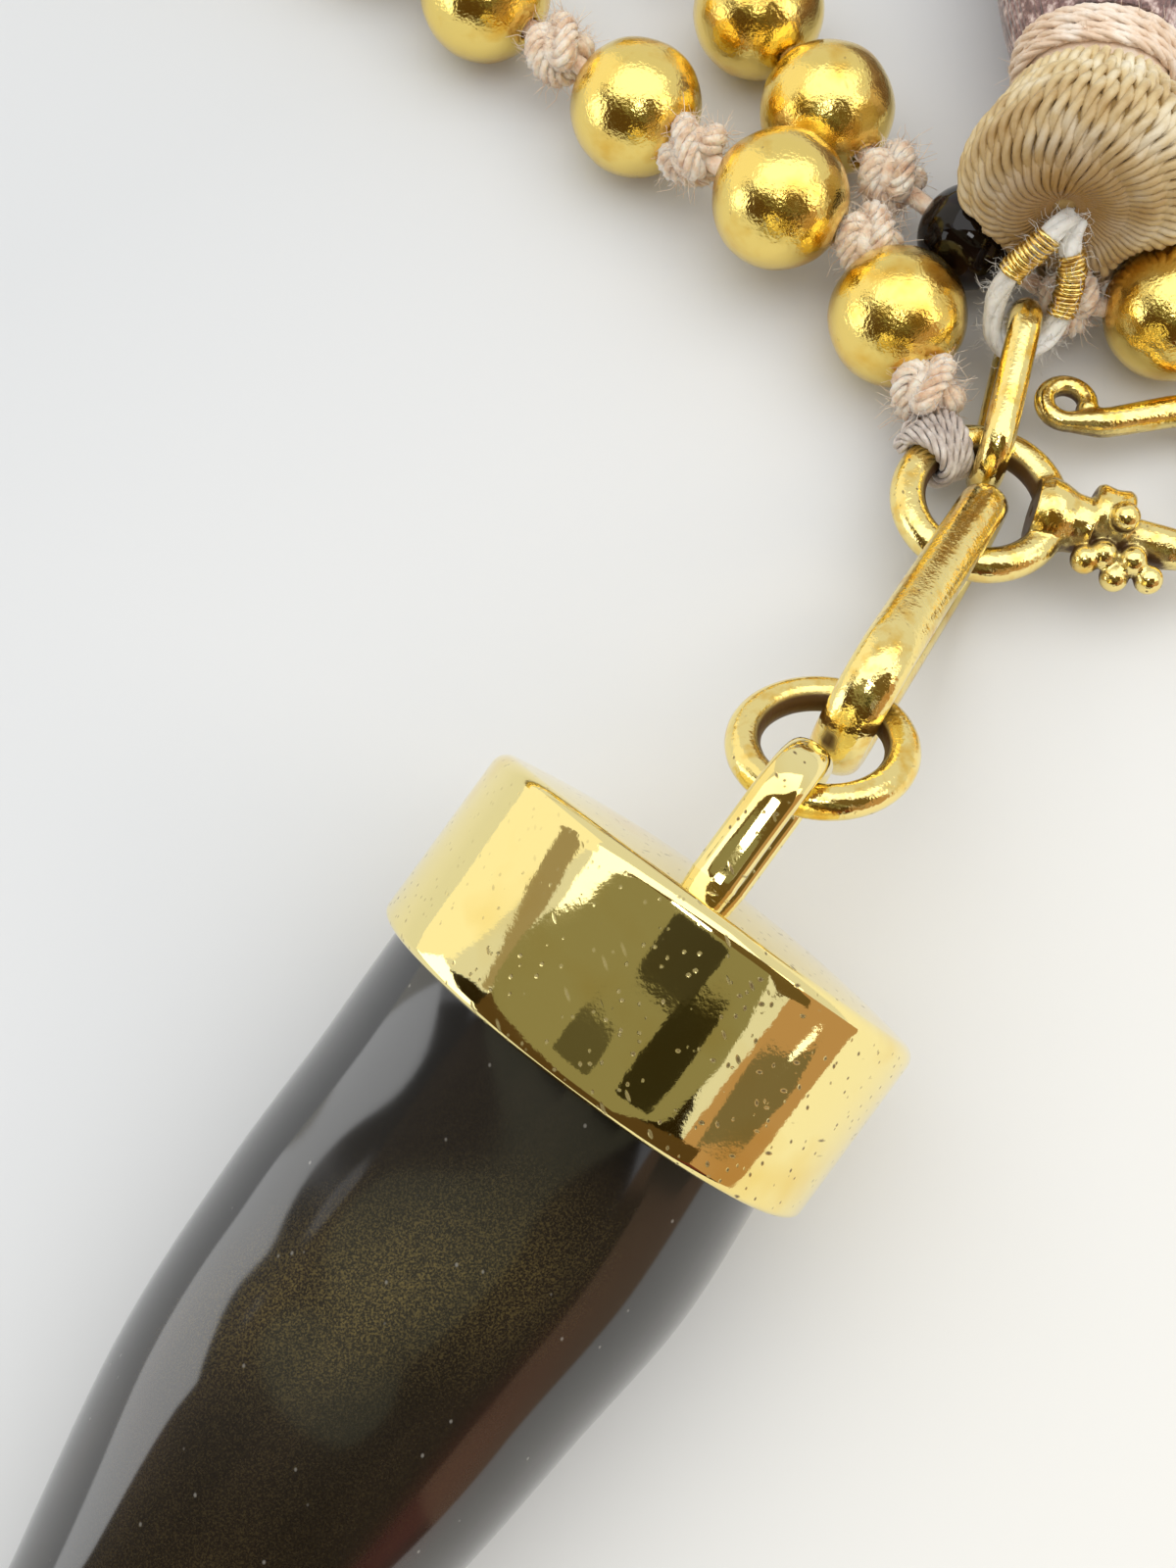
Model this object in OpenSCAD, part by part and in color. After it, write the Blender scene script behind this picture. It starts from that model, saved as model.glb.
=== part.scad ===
// Beaded tassel necklace, laid flat: a knotted loop of gold beads, a hook clasp,
// a silk tassel and a tusk pendant in a gold cap. Millimetres, +Z up, table at z = 0.

/* [Bead strand] */
// Diameter of a gold bead
gold_d = 6; // [5:0.1:6]
// Diameter of a dark stone bead
dark_d = 4.6; // [4:0.1:4.8]
// Bore drilled through every bead
bead_bore = 1.8; // [1.6:0.1:2]
// Spacing of the knotted beads along the thread
pitch = 7.9; // [7.7:0.1:9]
// Every so many beads of the hidden stretch is a dark one
dark_every = 12; // [6:1:24]
// Diameter of the knotting thread
thread_d = 1; // [0.8:0.1:1.1]
// Diameter of a knot
knot_d = 2.8; // [2.4:0.1:2.9]

/* [Hook clasp] */
// Outer diameter of the clasp's ring
ring_d = 7.6; // [7.4:0.1:7.8]
// Wire of the clasp's ring
ring_wire = 1.5; // [1.3:0.1:1.5]
// Wire of the hook's stem
stem_wire = 1.8; // [1.6:0.1:1.9]
// Wire of the hook
hook_wire = 1.4; // [1.2:0.1:1.4]
// Diameter of a solder granule
granule_d = 1.2; // [1.15:0.05:1.3]
// Outer diameter of the plain ring that the hook catches
eye_ring_d = 6.6; // [6.4:0.1:6.8]

/* [Pendant] */
// Diameter of the tusk's gold cap
cap_d = 17.5; // [17.4:0.1:17.8]
// Height of the cap's side band
cap_h = 6.9; // [6.6:0.1:7.2]
// Rise of the cap's domed end
cap_dome = 0.7; // [0.3:0.1:1]
// Width of the cap's eye strap
cap_eye_w = 1.7; // [1.4:0.1:1.8]
// Thickness of the cap's eye strap
cap_eye_t = 1; // [0.9:0.05:1]
// Outer diameter of the jump ring
jump_d = 7; // [6.9:0.1:7.1]
// Wire of the jump ring
jump_wire = 1.3; // [1.2:0.1:1.3]
// Width of the bail link at the clasp
bail_w = 1.9; // [1.6:0.1:2.2]
// Width of the bail link at the jump ring
bail_end_w = 2; // [1.8:0.1:2]

/* [Tassel] */
// Widest diameter of the tassel's head
head_d = 10.8; // [10.4:0.1:11]
// Cords seen side by side round the head
head_cords = 26; // [20:1:32]
// Wraps of thread in the tassel's band
band_wraps = 5; // [4:1:6]
// Length of the tassel's skirt
skirt_len = 52; // [45:1:60]
// Locks round the skirt
skirt_locks = 14; // [10:1:18]

/* [Hidden] */
$fn = 48;

// The layout is drawn round the clasp's ring, then moved so that the middle of
// the whole necklace's footprint is the origin.
frame_shift = [63.6, -120.9, 0];

// Kinds of point along the thread
KNOT = 1;
GOLD = 2;
DARK = 3;

// Thread from the clasp's ring to the first bead of the hidden stretch
route_left = [
    [[-1.9, 5.2, 3.1], KNOT], [[-3.0, 8.9, 3.0], GOLD], [[-4.15, 12.55, 3.25], KNOT],
    [[-8.0, 14.0, 4.2], GOLD], [[-11.7, 17.0, 3.5], KNOT], [[-14.2, 19.7, 3.0], GOLD],
    [[-17.7, 22.9, 3.0], KNOT], [[-21.1, 26.0, 3.0], GOLD]];
// The plain way round that nothing shows
route_hidden = [
    [-28, 32, 3], [-55, 51, 3], [-94, 74, 3], [-130, 108, 3], [-155, 155, 3],
    [-158, 215, 3], [-132, 268, 3], [-84, 298, 3], [-30, 294, 3], [12, 262, 3],
    [32, 212, 3], [26, 158, 3], [2, 108, 3], [-15, 68, 3]];
// Thread from the last hidden bead back to the plain ring under the hook
route_right = [
    [[-17.0, 44.0, 3.0], GOLD], [[-14.6, 36.9, 3.0], GOLD], [[-12.0, 30.6, 3.0], KNOT],
    [[-8.5, 25.0, 3.0], GOLD], [[-5.6, 19.6, 3.0], GOLD], [[-2.9, 16.0, 3.0], KNOT],
    [[0.5, 13.2, 2.6], DARK], [[4.6, 10.1, 2.4], KNOT], [[9.0, 9.2, 3.0], GOLD],
    [[12.9, 8.6, 3.0], KNOT], [[17.0, 6.9, 3.0], GOLD], [[19.3, 3.6, 2.8], KNOT]];

// Clasp: tilt of its plane, and its ring's middle
clasp_at = [0, 0, 2.95];
clasp_tilt = [-7, 3, 0];
ring_r = (ring_d - ring_wire) / 2;
tie_angle = 120;

// Hook: the wire's path in the clasp's plane, as straight runs and bends
stem_at = -12;
stem_heading = -5;
stem_len = 4.9;
stem_taper = 0.9;
hook_u_r = 3.75;
hook_u = 210;
arm_run = 2.6;
arm_wire = 1.3;
arm_r = 3;
arm_bend = -13;
curl_run = 1.3;
curl_r = 0.95;
curl = -290;
curl_wire = 0.9;
// Wire pieces end this far from a joint, inside a ball that is this much thicker
joint_gap = 0.02;
joint_swell = 0.06;
// Collar: the saddle on the ring, the rolled band, and the granules beside and on it
saddle_d = 3.2;
saddle_x = 1.3;
collar_d = 2.8;
collar_off = 0.55;
collar_x = [1.4, 3.1];
granule_at = [[1.65, -1.65, 0.05], [2.3, -1.3, 0.25], [2.7, 0.0, 1.3], [3.0, -1.95, -0.2],
              [3.5, -1.3, 0.35], [4.35, -1.75, 0.0]];

eye_ring_wire = 1.2;
eye_ring_r = (eye_ring_d - eye_ring_wire) / 2;
eye_ring_at = [14.0, 1.5, 2.6];
eye_ring_lean = 45;

// Tassel link: its two bends' middles, upright between the ring and the cord
tassel_link_wire = 1.4;
link_sides = 12;
link_bend_steps = 8;
tassel_link_r = 1.7;
tassel_link_a = [0.88, 3.06, 2.55];
tassel_link_b = [2.0, 7.2, 2.75];

// Pendant's links: the bends' middles of the bail link, the jump ring's middle
bail_r = 2.4;
bail_t = 1;
bail_a = [-1.4, -2.9, 3.45];
bail_b = [-5.95, -10.55, 8.55];
jump_r = (jump_d - jump_wire) / 2;
jump_at = [-8.0, -13.25, 10.1];
jump_tilt = [-28, 0, 0];

// Pendant: middle of the cap's mouth, heading and dip of its axis
mouth_at = [-16.3, -24.2, 8.8];
tusk_heading = 232.3;
tusk_dip = 15;
cap_edge_r = 0.6;
cap_socket_d = 16.2;
cap_socket_h = 5;
cap_eye_len = 6.5;
cap_eye_r = 2.1;

// Tusk: a row for each section along its axis
S = 0;
HALF_WIDTH = 1;
HALF_DEPTH = 2;
SIDE = 3;
LIFT = 4;
tusk_sections = [
    [-4.6, 7.4, 7.2, -0.4, 0.0],
    [0.0, 7.7, 7.3, -0.3, 0.0],
    [5.0, 7.85, 7.3, -0.1, 0.0],
    [10.0, 7.55, 7.0, -0.25, 0.8],
    [16.5, 6.85, 6.6, -0.2, 2.05],
    [25.7, 5.1, 5.0, 0.1, 2.9],
    [33.0, 4.0, 3.9, 0.5, 3.75],
    [40.0, 2.6, 2.6, 1.0, 4.4],
    [44.5, 1.3, 1.3, 1.3, 4.45],
    [46.0, 0.4, 0.4, 1.4, 4.3]];
tusk_sides = 28;
tusk_steps = 3;

// Tassel: where the cords gather, where the band sits, and the end of the skirt
gather_at = [4.3, 10.8, 6.4];
band_at = [5.5, 17.6, 5.9];
skirt_end = [12.5, 70, 3.5];
// Head's profile: share of its length, share of its widest radius
head_profile = [[0.06, 0.15], [0.0, 0.4], [0.02, 0.66], [0.12, 0.88], [0.27, 0.99],
                [0.45, 0.99], [0.63, 0.9], [0.82, 0.77], [1.0, 0.65]];
head_rib = 0.05;
head_sides = head_cords * 3;
band_d = 7.2;
band_cord = 0.5;
skirt_sides = skirt_locks * 4;
// Skirt's profile: share of its length, half width, half height, depth of the locks
skirt_profile = [[0.0, 3.5, 3.5, 0.05], [0.05, 4.2, 4.0, 0.08], [0.15, 5.0, 4.4, 0.1],
                 [0.35, 6.0, 4.4, 0.13], [0.6, 6.9, 4.2, 0.18], [0.85, 7.6, 3.8, 0.26],
                 [1.0, 7.9, 3.4, 0.36]];
table_gap = 0.15;
soft_gap = 0.3;

// Vectors and curves

function unit(v) = v / norm(v);
function mix(a, b, t) = a + (b - a) * t;
function heading(v) = atan2(v[1], v[0]);
function dip(v) = atan2(-v[2], norm([v[0], v[1]]));

// Point on the smooth curve from b to c, with neighbours a and d
function curve(a, b, c, d, t) =
    0.5 * (2 * b + (c - a) * t + (2 * a - 5 * b + 4 * c - d) * t * t
           + (3 * b - 3 * c + d - a) * t * t * t);

// The list's rows joined by a smooth curve with so many steps between rows
function smooth(rows, steps) = let (last = len(rows) - 1) [
    for (i = [0 : last - 1], k = [0 : steps - 1])
        curve(rows[max(i - 1, 0)], rows[i], rows[i + 1], rows[min(i + 2, last)], k / steps),
    rows[last]];

function tangents(p) = [for (i = [0 : len(p) - 1])
    unit(p[min(i + 1, len(p) - 1)] - p[max(i - 1, 0)])];

// Side vectors that turn as little as possible from ring to ring
function side_vectors(t) = [
    for (i = 0, n = unit(cross([0, 0, 1], t[0])); i < len(t);
         i = i + 1, n = i < len(t) ? unit(n - (n * t[i]) * t[i]) : n) n];

// Closed skin over rings of equal point counts
module skin(rings) {
    count = len(rings[0]);
    last = len(rings) - 1;
    points = [for (ring = rings, p = ring) p];
    walls = [for (i = [0 : last - 1], k = [0 : count - 1])
        let (next = (k + 1) % count)
        [i * count + k, i * count + next, (i + 1) * count + next, (i + 1) * count + k]];
    start_cap = [for (k = [count - 1 : -1 : 0]) k];
    end_cap = [for (k = [0 : count - 1]) last * count + k];
    polyhedron(points, concat([start_cap], walls, [end_cap]), convexity = 6);
}

// Closed skin over a loop of rings
module loop_skin(rings) {
    count = len(rings[0]);
    turns = len(rings);
    points = [for (ring = rings, p = ring) p];
    walls = [for (i = [0 : turns - 1], k = [0 : count - 1])
        let (next = (k + 1) % count, here = i * count, on = (i + 1) % turns * count)
        [here + k, here + next, on + next, on + k]];
    polyhedron(points, walls, convexity = 6);
}

// Round tube along points, with a radius and a way for each point
module tube(p, r, t, sides) {
    n = side_vectors(t);
    skin([for (i = [0 : len(p) - 1])
        let (b = cross(t[i], n[i]))
        [for (k = [0 : sides - 1]) let (a = -360 * k / sides)
            p[i] + r[i] * (cos(a) * n[i] + sin(a) * b)]]);
}

// Thread's path and what is strung on it

function places(rows) = [for (row = rows) row[0]];
route = concat(places(route_left), route_hidden, places(route_right));
route_steps = 10;
path = smooth(route, route_steps);
// Length along the path at each of its points
path_s = [for (i = 0, s = 0; i < len(path);
    i = i + 1, s = i < len(path) ? s + norm(path[i] - path[i - 1]) : s) s];

function left_s(i) = path_s[i * route_steps];
right_start = len(route_left) + len(route_hidden);
function right_s(i) = path_s[(right_start + i) * route_steps];

hidden_from = left_s(len(route_left) - 1);
hidden_to = right_s(0);
hidden_beads = round((hidden_to - hidden_from) / pitch) - 1;
hidden_pitch = (hidden_to - hidden_from) / (hidden_beads + 1);

// Everything on the thread in order, as its length along the path and its kind
hidden_strung = [for (i = [0 : hidden_beads])
    for (half = [0, 1])
        let (kind = half == 0 ? KNOT : (i + 1) % dark_every == 0 ? DARK : GOLD)
        if (half == 0 || i < hidden_beads)
            [hidden_from + (i + 0.5 + half / 2) * hidden_pitch, kind]];
strung = concat(
    [for (i = [0 : len(route_left) - 1]) [left_s(i), route_left[i][1]]],
    hidden_strung,
    [for (i = [0 : len(route_right) - 1]) [right_s(i), route_right[i][1]]]);

// Index of the path point just before a length along it
function before(s, low, high) = high - low <= 1 ? low
    : let (mid = floor((low + high) / 2)) path_s[mid] <= s ? before(s, mid, high) : before(s, low, mid);
function path_at(s) = let (i = before(s, 0, len(path) - 1))
    mix(path[i], path[i + 1], (s - path_s[i]) / (path_s[i + 1] - path_s[i]));

// Way of a bore, as straight as the strand about the bead, and way of a knot
function clamped(s) = min(max(s, 0.01), path_s[len(path_s) - 1] - 0.01);
function way_over(s, reach) = unit(path_at(clamped(s + reach)) - path_at(clamped(s - reach)));
function bore_way(s) = way_over(s, 3.4);

// Rings of the thread at one strung place, as a middle, a radius and a way: it
// runs straight through a bore, and swells to a knot between two beads
knot_core = 0.28;
bore_thread_r = 0.42;
function thread_rings(s, reach, way, r) = [for (side = [-1, 1])
    [path_at(s) + side * reach * way, r, way]];
function strung_rings(s, kind) = kind == KNOT
    ? thread_rings(s, knot_core, way_over(s, 0.5), knot_d / 2)
    : thread_rings(s, (kind == DARK ? dark_d : gold_d) / 2 - 0.15, bore_way(s), bore_thread_r);
thread_table = [for (row = strung) each strung_rings(row[0], row[1])];

// One turn of the thread round a wire, in the plane of two unit vectors
tie_r = (ring_wire + thread_d) / 2 + 0.16;
tie_steps = 9;
function tie(at, u, v, from, sweep) = [for (i = [0 : tie_steps])
    let (a = from + sweep * i / tie_steps) at + tie_r * (cos(a) * u + sin(a) * v)];

// Places on the tilted clasp, given in its own plane
function spin_x(p, a) = [p[0], p[1] * cos(a) - p[2] * sin(a), p[1] * sin(a) + p[2] * cos(a)];
function spin_y(p, a) = [p[0] * cos(a) + p[2] * sin(a), p[1], -p[0] * sin(a) + p[2] * cos(a)];
function on_clasp(p) = clasp_at + spin_y(spin_x(p, clasp_tilt[0]), clasp_tilt[1]);

tie_out = [cos(tie_angle), sin(tie_angle), 0];
left_tie = tie(on_clasp(ring_r * tie_out), tie_out, [0, 0, 1], 325, -290);
right_tie = tie(eye_ring_at + [eye_ring_r, 0, 0], [1, 0, 0], unit([0, -1, 1]), 10, 280);

// Gold and dark beads

module drilled_bead(s, d) {
    way = bore_way(s);
    translate(path_at(s)) rotate([0, dip(way) + 90, heading(way)]) difference() {
        sphere(d = d);
        cylinder(d = bead_bore, h = 2 * d, center = true);
    }
}

module beads(kind, d, from, to) {
    for (row = strung)
        if (row[1] == kind && row[0] >= from && row[0] < to) drilled_bead(row[0], d);
}

strand_middle = path_s[len(path_s) - 1] / 2;
strand_end = path_s[len(path_s) - 1] + 1;

module gold_beads_left() { color("gold") placed() beads(GOLD, gold_d, 0, strand_middle); }
module gold_beads_right() { color("gold") placed() beads(GOLD, gold_d, strand_middle, strand_end); }
module dark_beads() { color("#2a1a14") placed() beads(DARK, dark_d, 0, strand_end); }

module knotted_thread() {
    tie_radii = [for (i = [0 : tie_steps]) thread_d / 2];
    back = [for (i = [tie_steps : -1 : 0]) left_tie[i]];
    color("#e6bca0") placed() tube(
        concat(back, [for (row = thread_table) row[0]], right_tie),
        concat(tie_radii, [for (row = thread_table) row[1]], tie_radii),
        concat(tangents(back), [for (row = thread_table) row[2]], tangents(right_tie)), 8);
}

// Wire pieces: a straight run and a bend, with what follows set at their end

// The ball's own axis lies along the wire
module joint_ball(d) { rotate([0, 90, 0]) sphere(d = d + joint_swell); }

module run(length, d1, d2) {
    translate([joint_gap, 0, 0]) rotate([0, 90, 0])
        cylinder(d1 = d1, d2 = d2, h = length - 2 * joint_gap);
    translate([length, 0, 0]) {
        joint_ball(d2);
        children();
    }
}

module bend(r, angle, d) {
    side = sign(angle);
    short = joint_gap / r * 180 / PI;
    translate([0, side * r, 0]) {
        rotate([0, 0, (side > 0 ? -90 : 90 + angle) + short])
            rotate_extrude(angle = abs(angle) - 2 * short) translate([r, 0]) circle(d = d);
        rotate([0, 0, angle]) translate([0, -side * r, 0]) {
            joint_ball(d);
            children();
        }
    }
}

module wire_ring(r, d) { rotate_extrude() translate([r, 0]) circle(d = d); }

// Upright link with a round bend at each of two places, its wire w wide and t thick
module upright_link(a, b, r, w_a, w_b, t) {
    way = b - a;
    length = norm(way);
    bends = [for (k = [0 : link_bend_steps]) [length, 90 - 180 * k / link_bend_steps, w_b],
             for (k = [0 : link_bend_steps]) [0, -90 - 180 * k / link_bend_steps, w_a]];
    translate(a) rotate([0, dip(way), heading(way)]) loop_skin([for (row = bends)
        let (out = [cos(row[1]), 0, sin(row[1])])
        [for (k = [0 : link_sides - 1]) let (a = 360 * k / link_sides)
            [row[0], 0, 0] + (r + t / 2 * cos(a)) * out + [0, row[2] / 2 * sin(a), 0]]]);
}

// Clasp: ring, granulated collar and hook, soldered into one piece

module collar() {
    rotate([0, 90, 0]) cylinder(d1 = saddle_d, d2 = collar_d - 0.4, h = saddle_x + 0.2);
    translate([0, collar_off, 0]) rotate([0, 90, 0])
        translate([0, 0, collar_x[0]]) cylinder(d = collar_d, h = collar_x[1] - collar_x[0]);
    for (at = granule_at) translate(at) sphere(d = granule_d);
}

module hook() {
    rotate([0, 0, stem_at]) translate([ring_r, 0, 0]) rotate([0, 0, stem_heading]) {
        collar();
        run(stem_len, stem_wire, stem_wire)
        run(stem_taper, stem_wire, hook_wire)
        bend(hook_u_r, hook_u, hook_wire)
        run(arm_run, hook_wire, arm_wire)
        bend(arm_r, arm_bend, arm_wire)
        run(curl_run, arm_wire, curl_wire)
        bend(curl_r, curl, curl_wire);
    }
}

module hook_clasp() {
    color("gold") placed() translate(clasp_at) rotate(clasp_tilt) {
        wire_ring(ring_r, ring_wire);
        hook();
    }
}

module eye_ring() {
    color("gold") placed() translate(eye_ring_at) rotate([eye_ring_lean, 0, 0])
        wire_ring(eye_ring_r, eye_ring_wire);
}

// Links

module tassel_link() {
    color("gold") placed()
        upright_link(tassel_link_a, tassel_link_b, tassel_link_r,
                     tassel_link_wire, tassel_link_wire, tassel_link_wire);
}

module bail_link() {
    color("gold") placed() upright_link(bail_a, bail_b, bail_r, bail_w, bail_end_w, bail_t);
}

module jump_ring() {
    color("gold") placed() translate(jump_at) rotate(jump_tilt) wire_ring(jump_r, jump_wire);
}

// Pendant

module on_tusk() {
    translate(mouth_at) rotate([0, tusk_dip, tusk_heading]) children();
}

module strap_section() {
    flat = cap_eye_w - cap_eye_t;
    square([cap_eye_t, flat], center = true);
    for (side = [-1, 1]) translate([0, side * flat / 2]) circle(d = cap_eye_t);
}

module cap_eye() {
    leg = cap_eye_len - cap_eye_r - cap_eye_t / 2;
    rotate([90, 0, 0]) translate([-leg, 0, 0]) {
        rotate([0, 0, 90]) rotate_extrude(angle = 180) translate([cap_eye_r, 0]) strap_section();
        for (side = [-1, 1]) translate([0, side * cap_eye_r, 0]) rotate([0, 90, 0]) rotate([0, 0, 90])
            linear_extrude(height = leg + 1) strap_section();
    }
}

module tusk_cap() {
    rim = cap_d / 2 - cap_edge_r;
    color("gold") placed() on_tusk() {
        difference() {
            rotate([0, -90, 0]) union() {
                cylinder(d = cap_d - 2 * cap_edge_r, h = cap_h);
                translate([0, 0, cap_edge_r]) cylinder(d = cap_d, h = cap_h - 2 * cap_edge_r);
                for (z = [cap_edge_r, cap_h - cap_edge_r])
                    translate([0, 0, z]) wire_ring(rim, 2 * cap_edge_r);
                translate([0, 0, cap_h]) cylinder(d1 = 2 * rim, d2 = rim, h = cap_dome);
            }
            rotate([0, -90, 0]) translate([0, 0, -1])
                cylinder(d = cap_socket_d, h = cap_socket_h + 1);
        }
        translate([-cap_h, 0, 0]) cap_eye();
    }
}

module tusk() {
    rows = smooth(tusk_sections, tusk_steps);
    color("#1c1410") placed() on_tusk() skin([for (row = rows)
        [for (k = [0 : tusk_sides - 1]) let (a = -360 * k / tusk_sides)
            [row[S], row[SIDE] + row[HALF_WIDTH] * cos(a), row[LIFT] + row[HALF_DEPTH] * sin(a)]]]);
}

// Tassel

// Hard things that the soft tassel leans on, as a middle and a radius
strand_r = 1.5;
pressed_by = concat(
    [for (row = route_right)
        [row[0], (row[1] == DARK ? dark_d : row[1] == GOLD ? gold_d : knot_d) / 2 + soft_gap]],
    [for (i = [1 : len(route_right) - 1])
        [(route_right[i][0] + route_right[i - 1][0]) / 2, strand_r]]);

// How far out of a middle a ray of length r reaches before the first of those things
function free_reach(at, out, r, ball) = let (
        way = ball[0] - at, along = way * out, left = pow(ball[1], 2) - (way * way - along * along))
    left > 0 && along > 0 ? min(r, along - sqrt(left)) : r;
function pressed_reach(at, out, r) = min([for (ball = pressed_by) free_reach(at, out, r, ball)]);
function on_table(p) = [p[0], p[1], max(p[2], table_gap)];

// Ring of points round a way, wide across and high upward
function oval(at, way, wide, high, sides, depth, waves) =
    let (across = unit(cross(way, [0, 0, 1])), up = cross(across, way))
    [for (k = [0 : sides - 1])
        let (a = 360 * k / sides, r = 1 - depth * (1 - cos(a * waves)) / 2,
             out = r * (wide * cos(a) * across + high * sin(a) * up))
        on_table(at + unit(out) * pressed_reach(at, unit(out), norm(out)))];

module tassel_head() {
    way = unit(band_at - gather_at);
    length = norm(band_at - gather_at) - band_cord;
    rows = smooth(head_profile, 2);
    color("#c9b98a") placed() skin([for (row = rows)
        oval(gather_at + way * length * row[0], way, row[1] * head_d / 2, row[1] * head_d / 2,
             head_sides, head_rib, head_cords)]);
}

module tassel_band() {
    way = unit(band_at - gather_at);
    color("#edc3a8") placed() translate(band_at) rotate([0, dip(way), heading(way)])
        rotate([0, 90, 0]) {
            cylinder(d = band_d - band_cord, h = band_cord * (band_wraps - 1));
            for (i = [0 : band_wraps - 1]) translate([0, 0, i * band_cord])
                wire_ring((band_d - band_cord) / 2, band_cord * 1.04);
        }
}

module tassel_skirt() {
    start = band_at + unit(band_at - gather_at) * band_cord * (band_wraps + 0.1);
    way = unit(skirt_end - start);
    rows = smooth(skirt_profile, 2);
    color("#8d7672") placed() skin([for (row = rows)
        oval(start + way * skirt_len * row[0], way, row[1], row[2], skirt_sides, row[3], skirt_locks)]);
}

module tassel_cord() {
    far = tassel_link_b + [0.02, 0.1, -0.05];
    cord_d = 1.1;
    loop = smooth([gather_at + [-0.3, -0.4, -0.3], [1.75, 9.6, 4.9], [0.95, 8.4, 3.5], far,
                   [3.6, 8.0, 3.3], [4.2, 9.4, 4.9], gather_at + [0.35, -0.4, -0.3]], 4);
    color("#e9e2d2") placed() tube(loop, [for (p = loop) cord_d / 2], tangents(loop), 10);
}

module placed() { translate(frame_shift) children(); }

gold_beads_left();
gold_beads_right();
dark_beads();
knotted_thread();
hook_clasp();
eye_ring();
tassel_link();
tassel_cord();
tassel_head();
tassel_band();
tassel_skirt();
bail_link();
jump_ring();
tusk_cap();
tusk();
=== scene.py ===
"""Looks of the beaded tassel necklace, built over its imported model.

Shapes are laid out in millimetres round the clasp's ring, as in the part's source,
and are moved to the part's own frame in metres when their meshes are finished.
"""

import logging
import math
from dataclasses import dataclass
from enum import Enum
from functools import partial
from typing import Any, Callable, Iterable, Sequence

import bmesh
import bpy
import numpy as np
from mathutils import Matrix, Vector
from mathutils.bvhtree import BVHTree

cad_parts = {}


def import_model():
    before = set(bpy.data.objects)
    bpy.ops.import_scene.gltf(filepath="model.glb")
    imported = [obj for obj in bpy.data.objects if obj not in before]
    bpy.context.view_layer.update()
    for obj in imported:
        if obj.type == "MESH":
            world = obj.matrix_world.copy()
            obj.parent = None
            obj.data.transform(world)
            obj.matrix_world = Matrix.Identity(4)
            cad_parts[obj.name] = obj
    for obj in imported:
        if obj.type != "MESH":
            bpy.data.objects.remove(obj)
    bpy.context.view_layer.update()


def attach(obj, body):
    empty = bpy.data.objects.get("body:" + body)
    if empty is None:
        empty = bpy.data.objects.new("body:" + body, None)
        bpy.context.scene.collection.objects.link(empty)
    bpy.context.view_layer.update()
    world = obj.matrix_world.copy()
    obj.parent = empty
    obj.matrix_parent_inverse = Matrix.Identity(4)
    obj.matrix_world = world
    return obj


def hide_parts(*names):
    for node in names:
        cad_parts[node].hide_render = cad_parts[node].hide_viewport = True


LOG = logging.getLogger("necklace")
BODY = "root"
MM = 0.001
# The clasp ring's middle in the part's frame, in millimetres
FRAME_SHIFT = np.array([63.6, -120.9, 0.0])
# Strength of every gold bump, whose depth is set by its distance
GOLD_BUMP = 0.3

Points = np.ndarray
Rows = Sequence[Sequence[float]]
Mesh, Node, Material = bpy.types.Mesh, bpy.types.Node, bpy.types.Material
Thing = bpy.types.Object
Adder = Callable[..., Node]


# Small tools: colours, nodes, curves and meshes


def linear(colour: str) -> tuple[float, float, float, float]:
    """Turns an sRGB hex colour into linear light.

    Args:
        colour: Six hex digits after a hash.

    Returns:
        Red, green, blue and an alpha of one.
    """
    parts = [int(colour[i : i + 2], 16) / 255 for i in (1, 3, 5)]
    light = [c / 12.92 if c <= 0.04045 else ((c + 0.055) / 1.055) ** 2.4 for c in parts]
    return (light[0], light[1], light[2], 1.0)


def add_node(tree: bpy.types.NodeTree, kind: str, inputs: dict[Any, Any] | None = None,
             **settings: Any) -> Node:
    """Adds a node to a tree with its settings, values and links.

    Args:
        tree: The tree that gets the node.
        kind: The node's type name.
        inputs: For each input, by name or index, its value, or the output or node it follows.
        **settings: Properties of the node.

    Returns:
        The new node.
    """
    made = tree.nodes.new(kind)
    for key, value in settings.items():
        setattr(made, key, value)
    for key, value in (inputs or {}).items():
        if isinstance(value, Node):
            value = next(output for output in value.outputs if output.enabled)
        if isinstance(value, bpy.types.NodeSocket):
            tree.links.new(value, made.inputs[key])
        else:
            made.inputs[key].default_value = value
    return made


def unit(v: Points) -> Points:
    """Returns vectors at length one."""
    v = np.asarray(v, float)
    return v / np.linalg.norm(v, axis=-1, keepdims=True)


def circle(count: int) -> Points:
    """Even angles round a full turn."""
    return np.linspace(0, math.tau, count, endpoint=False)


def smooth(rows: Any, steps: int) -> Points:
    """Joins rows by the same smooth curve as the part's source.

    Args:
        rows: Points or longer rows of numbers.
        steps: Steps between two rows.

    Returns:
        The denser rows.
    """
    rows = np.asarray(rows, float)
    last = len(rows) - 1
    out = []
    for i in range(last):
        a, b, c, d = (rows[min(max(j, 0), last)] for j in (i - 1, i, i + 1, i + 2))
        for k in range(steps):
            t = k / steps
            out.append(0.5 * (2 * b + (c - a) * t + (2 * a - 5 * b + 4 * c - d) * t**2
                              + (3 * b - 3 * c + d - a) * t**3))
    out.append(rows[last])
    return np.array(out)


def lengths(path: Points) -> Points:
    """Length along a path at each of its points."""
    return np.concatenate([[0], np.cumsum(np.linalg.norm(np.diff(path, axis=0), axis=1))])


def at_lengths(path: Points, s: Any) -> Points:
    """Points at given lengths along a path."""
    along = lengths(path)
    return np.stack([np.interp(s, along, path[:, i]) for i in range(path.shape[1])], axis=-1)


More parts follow.
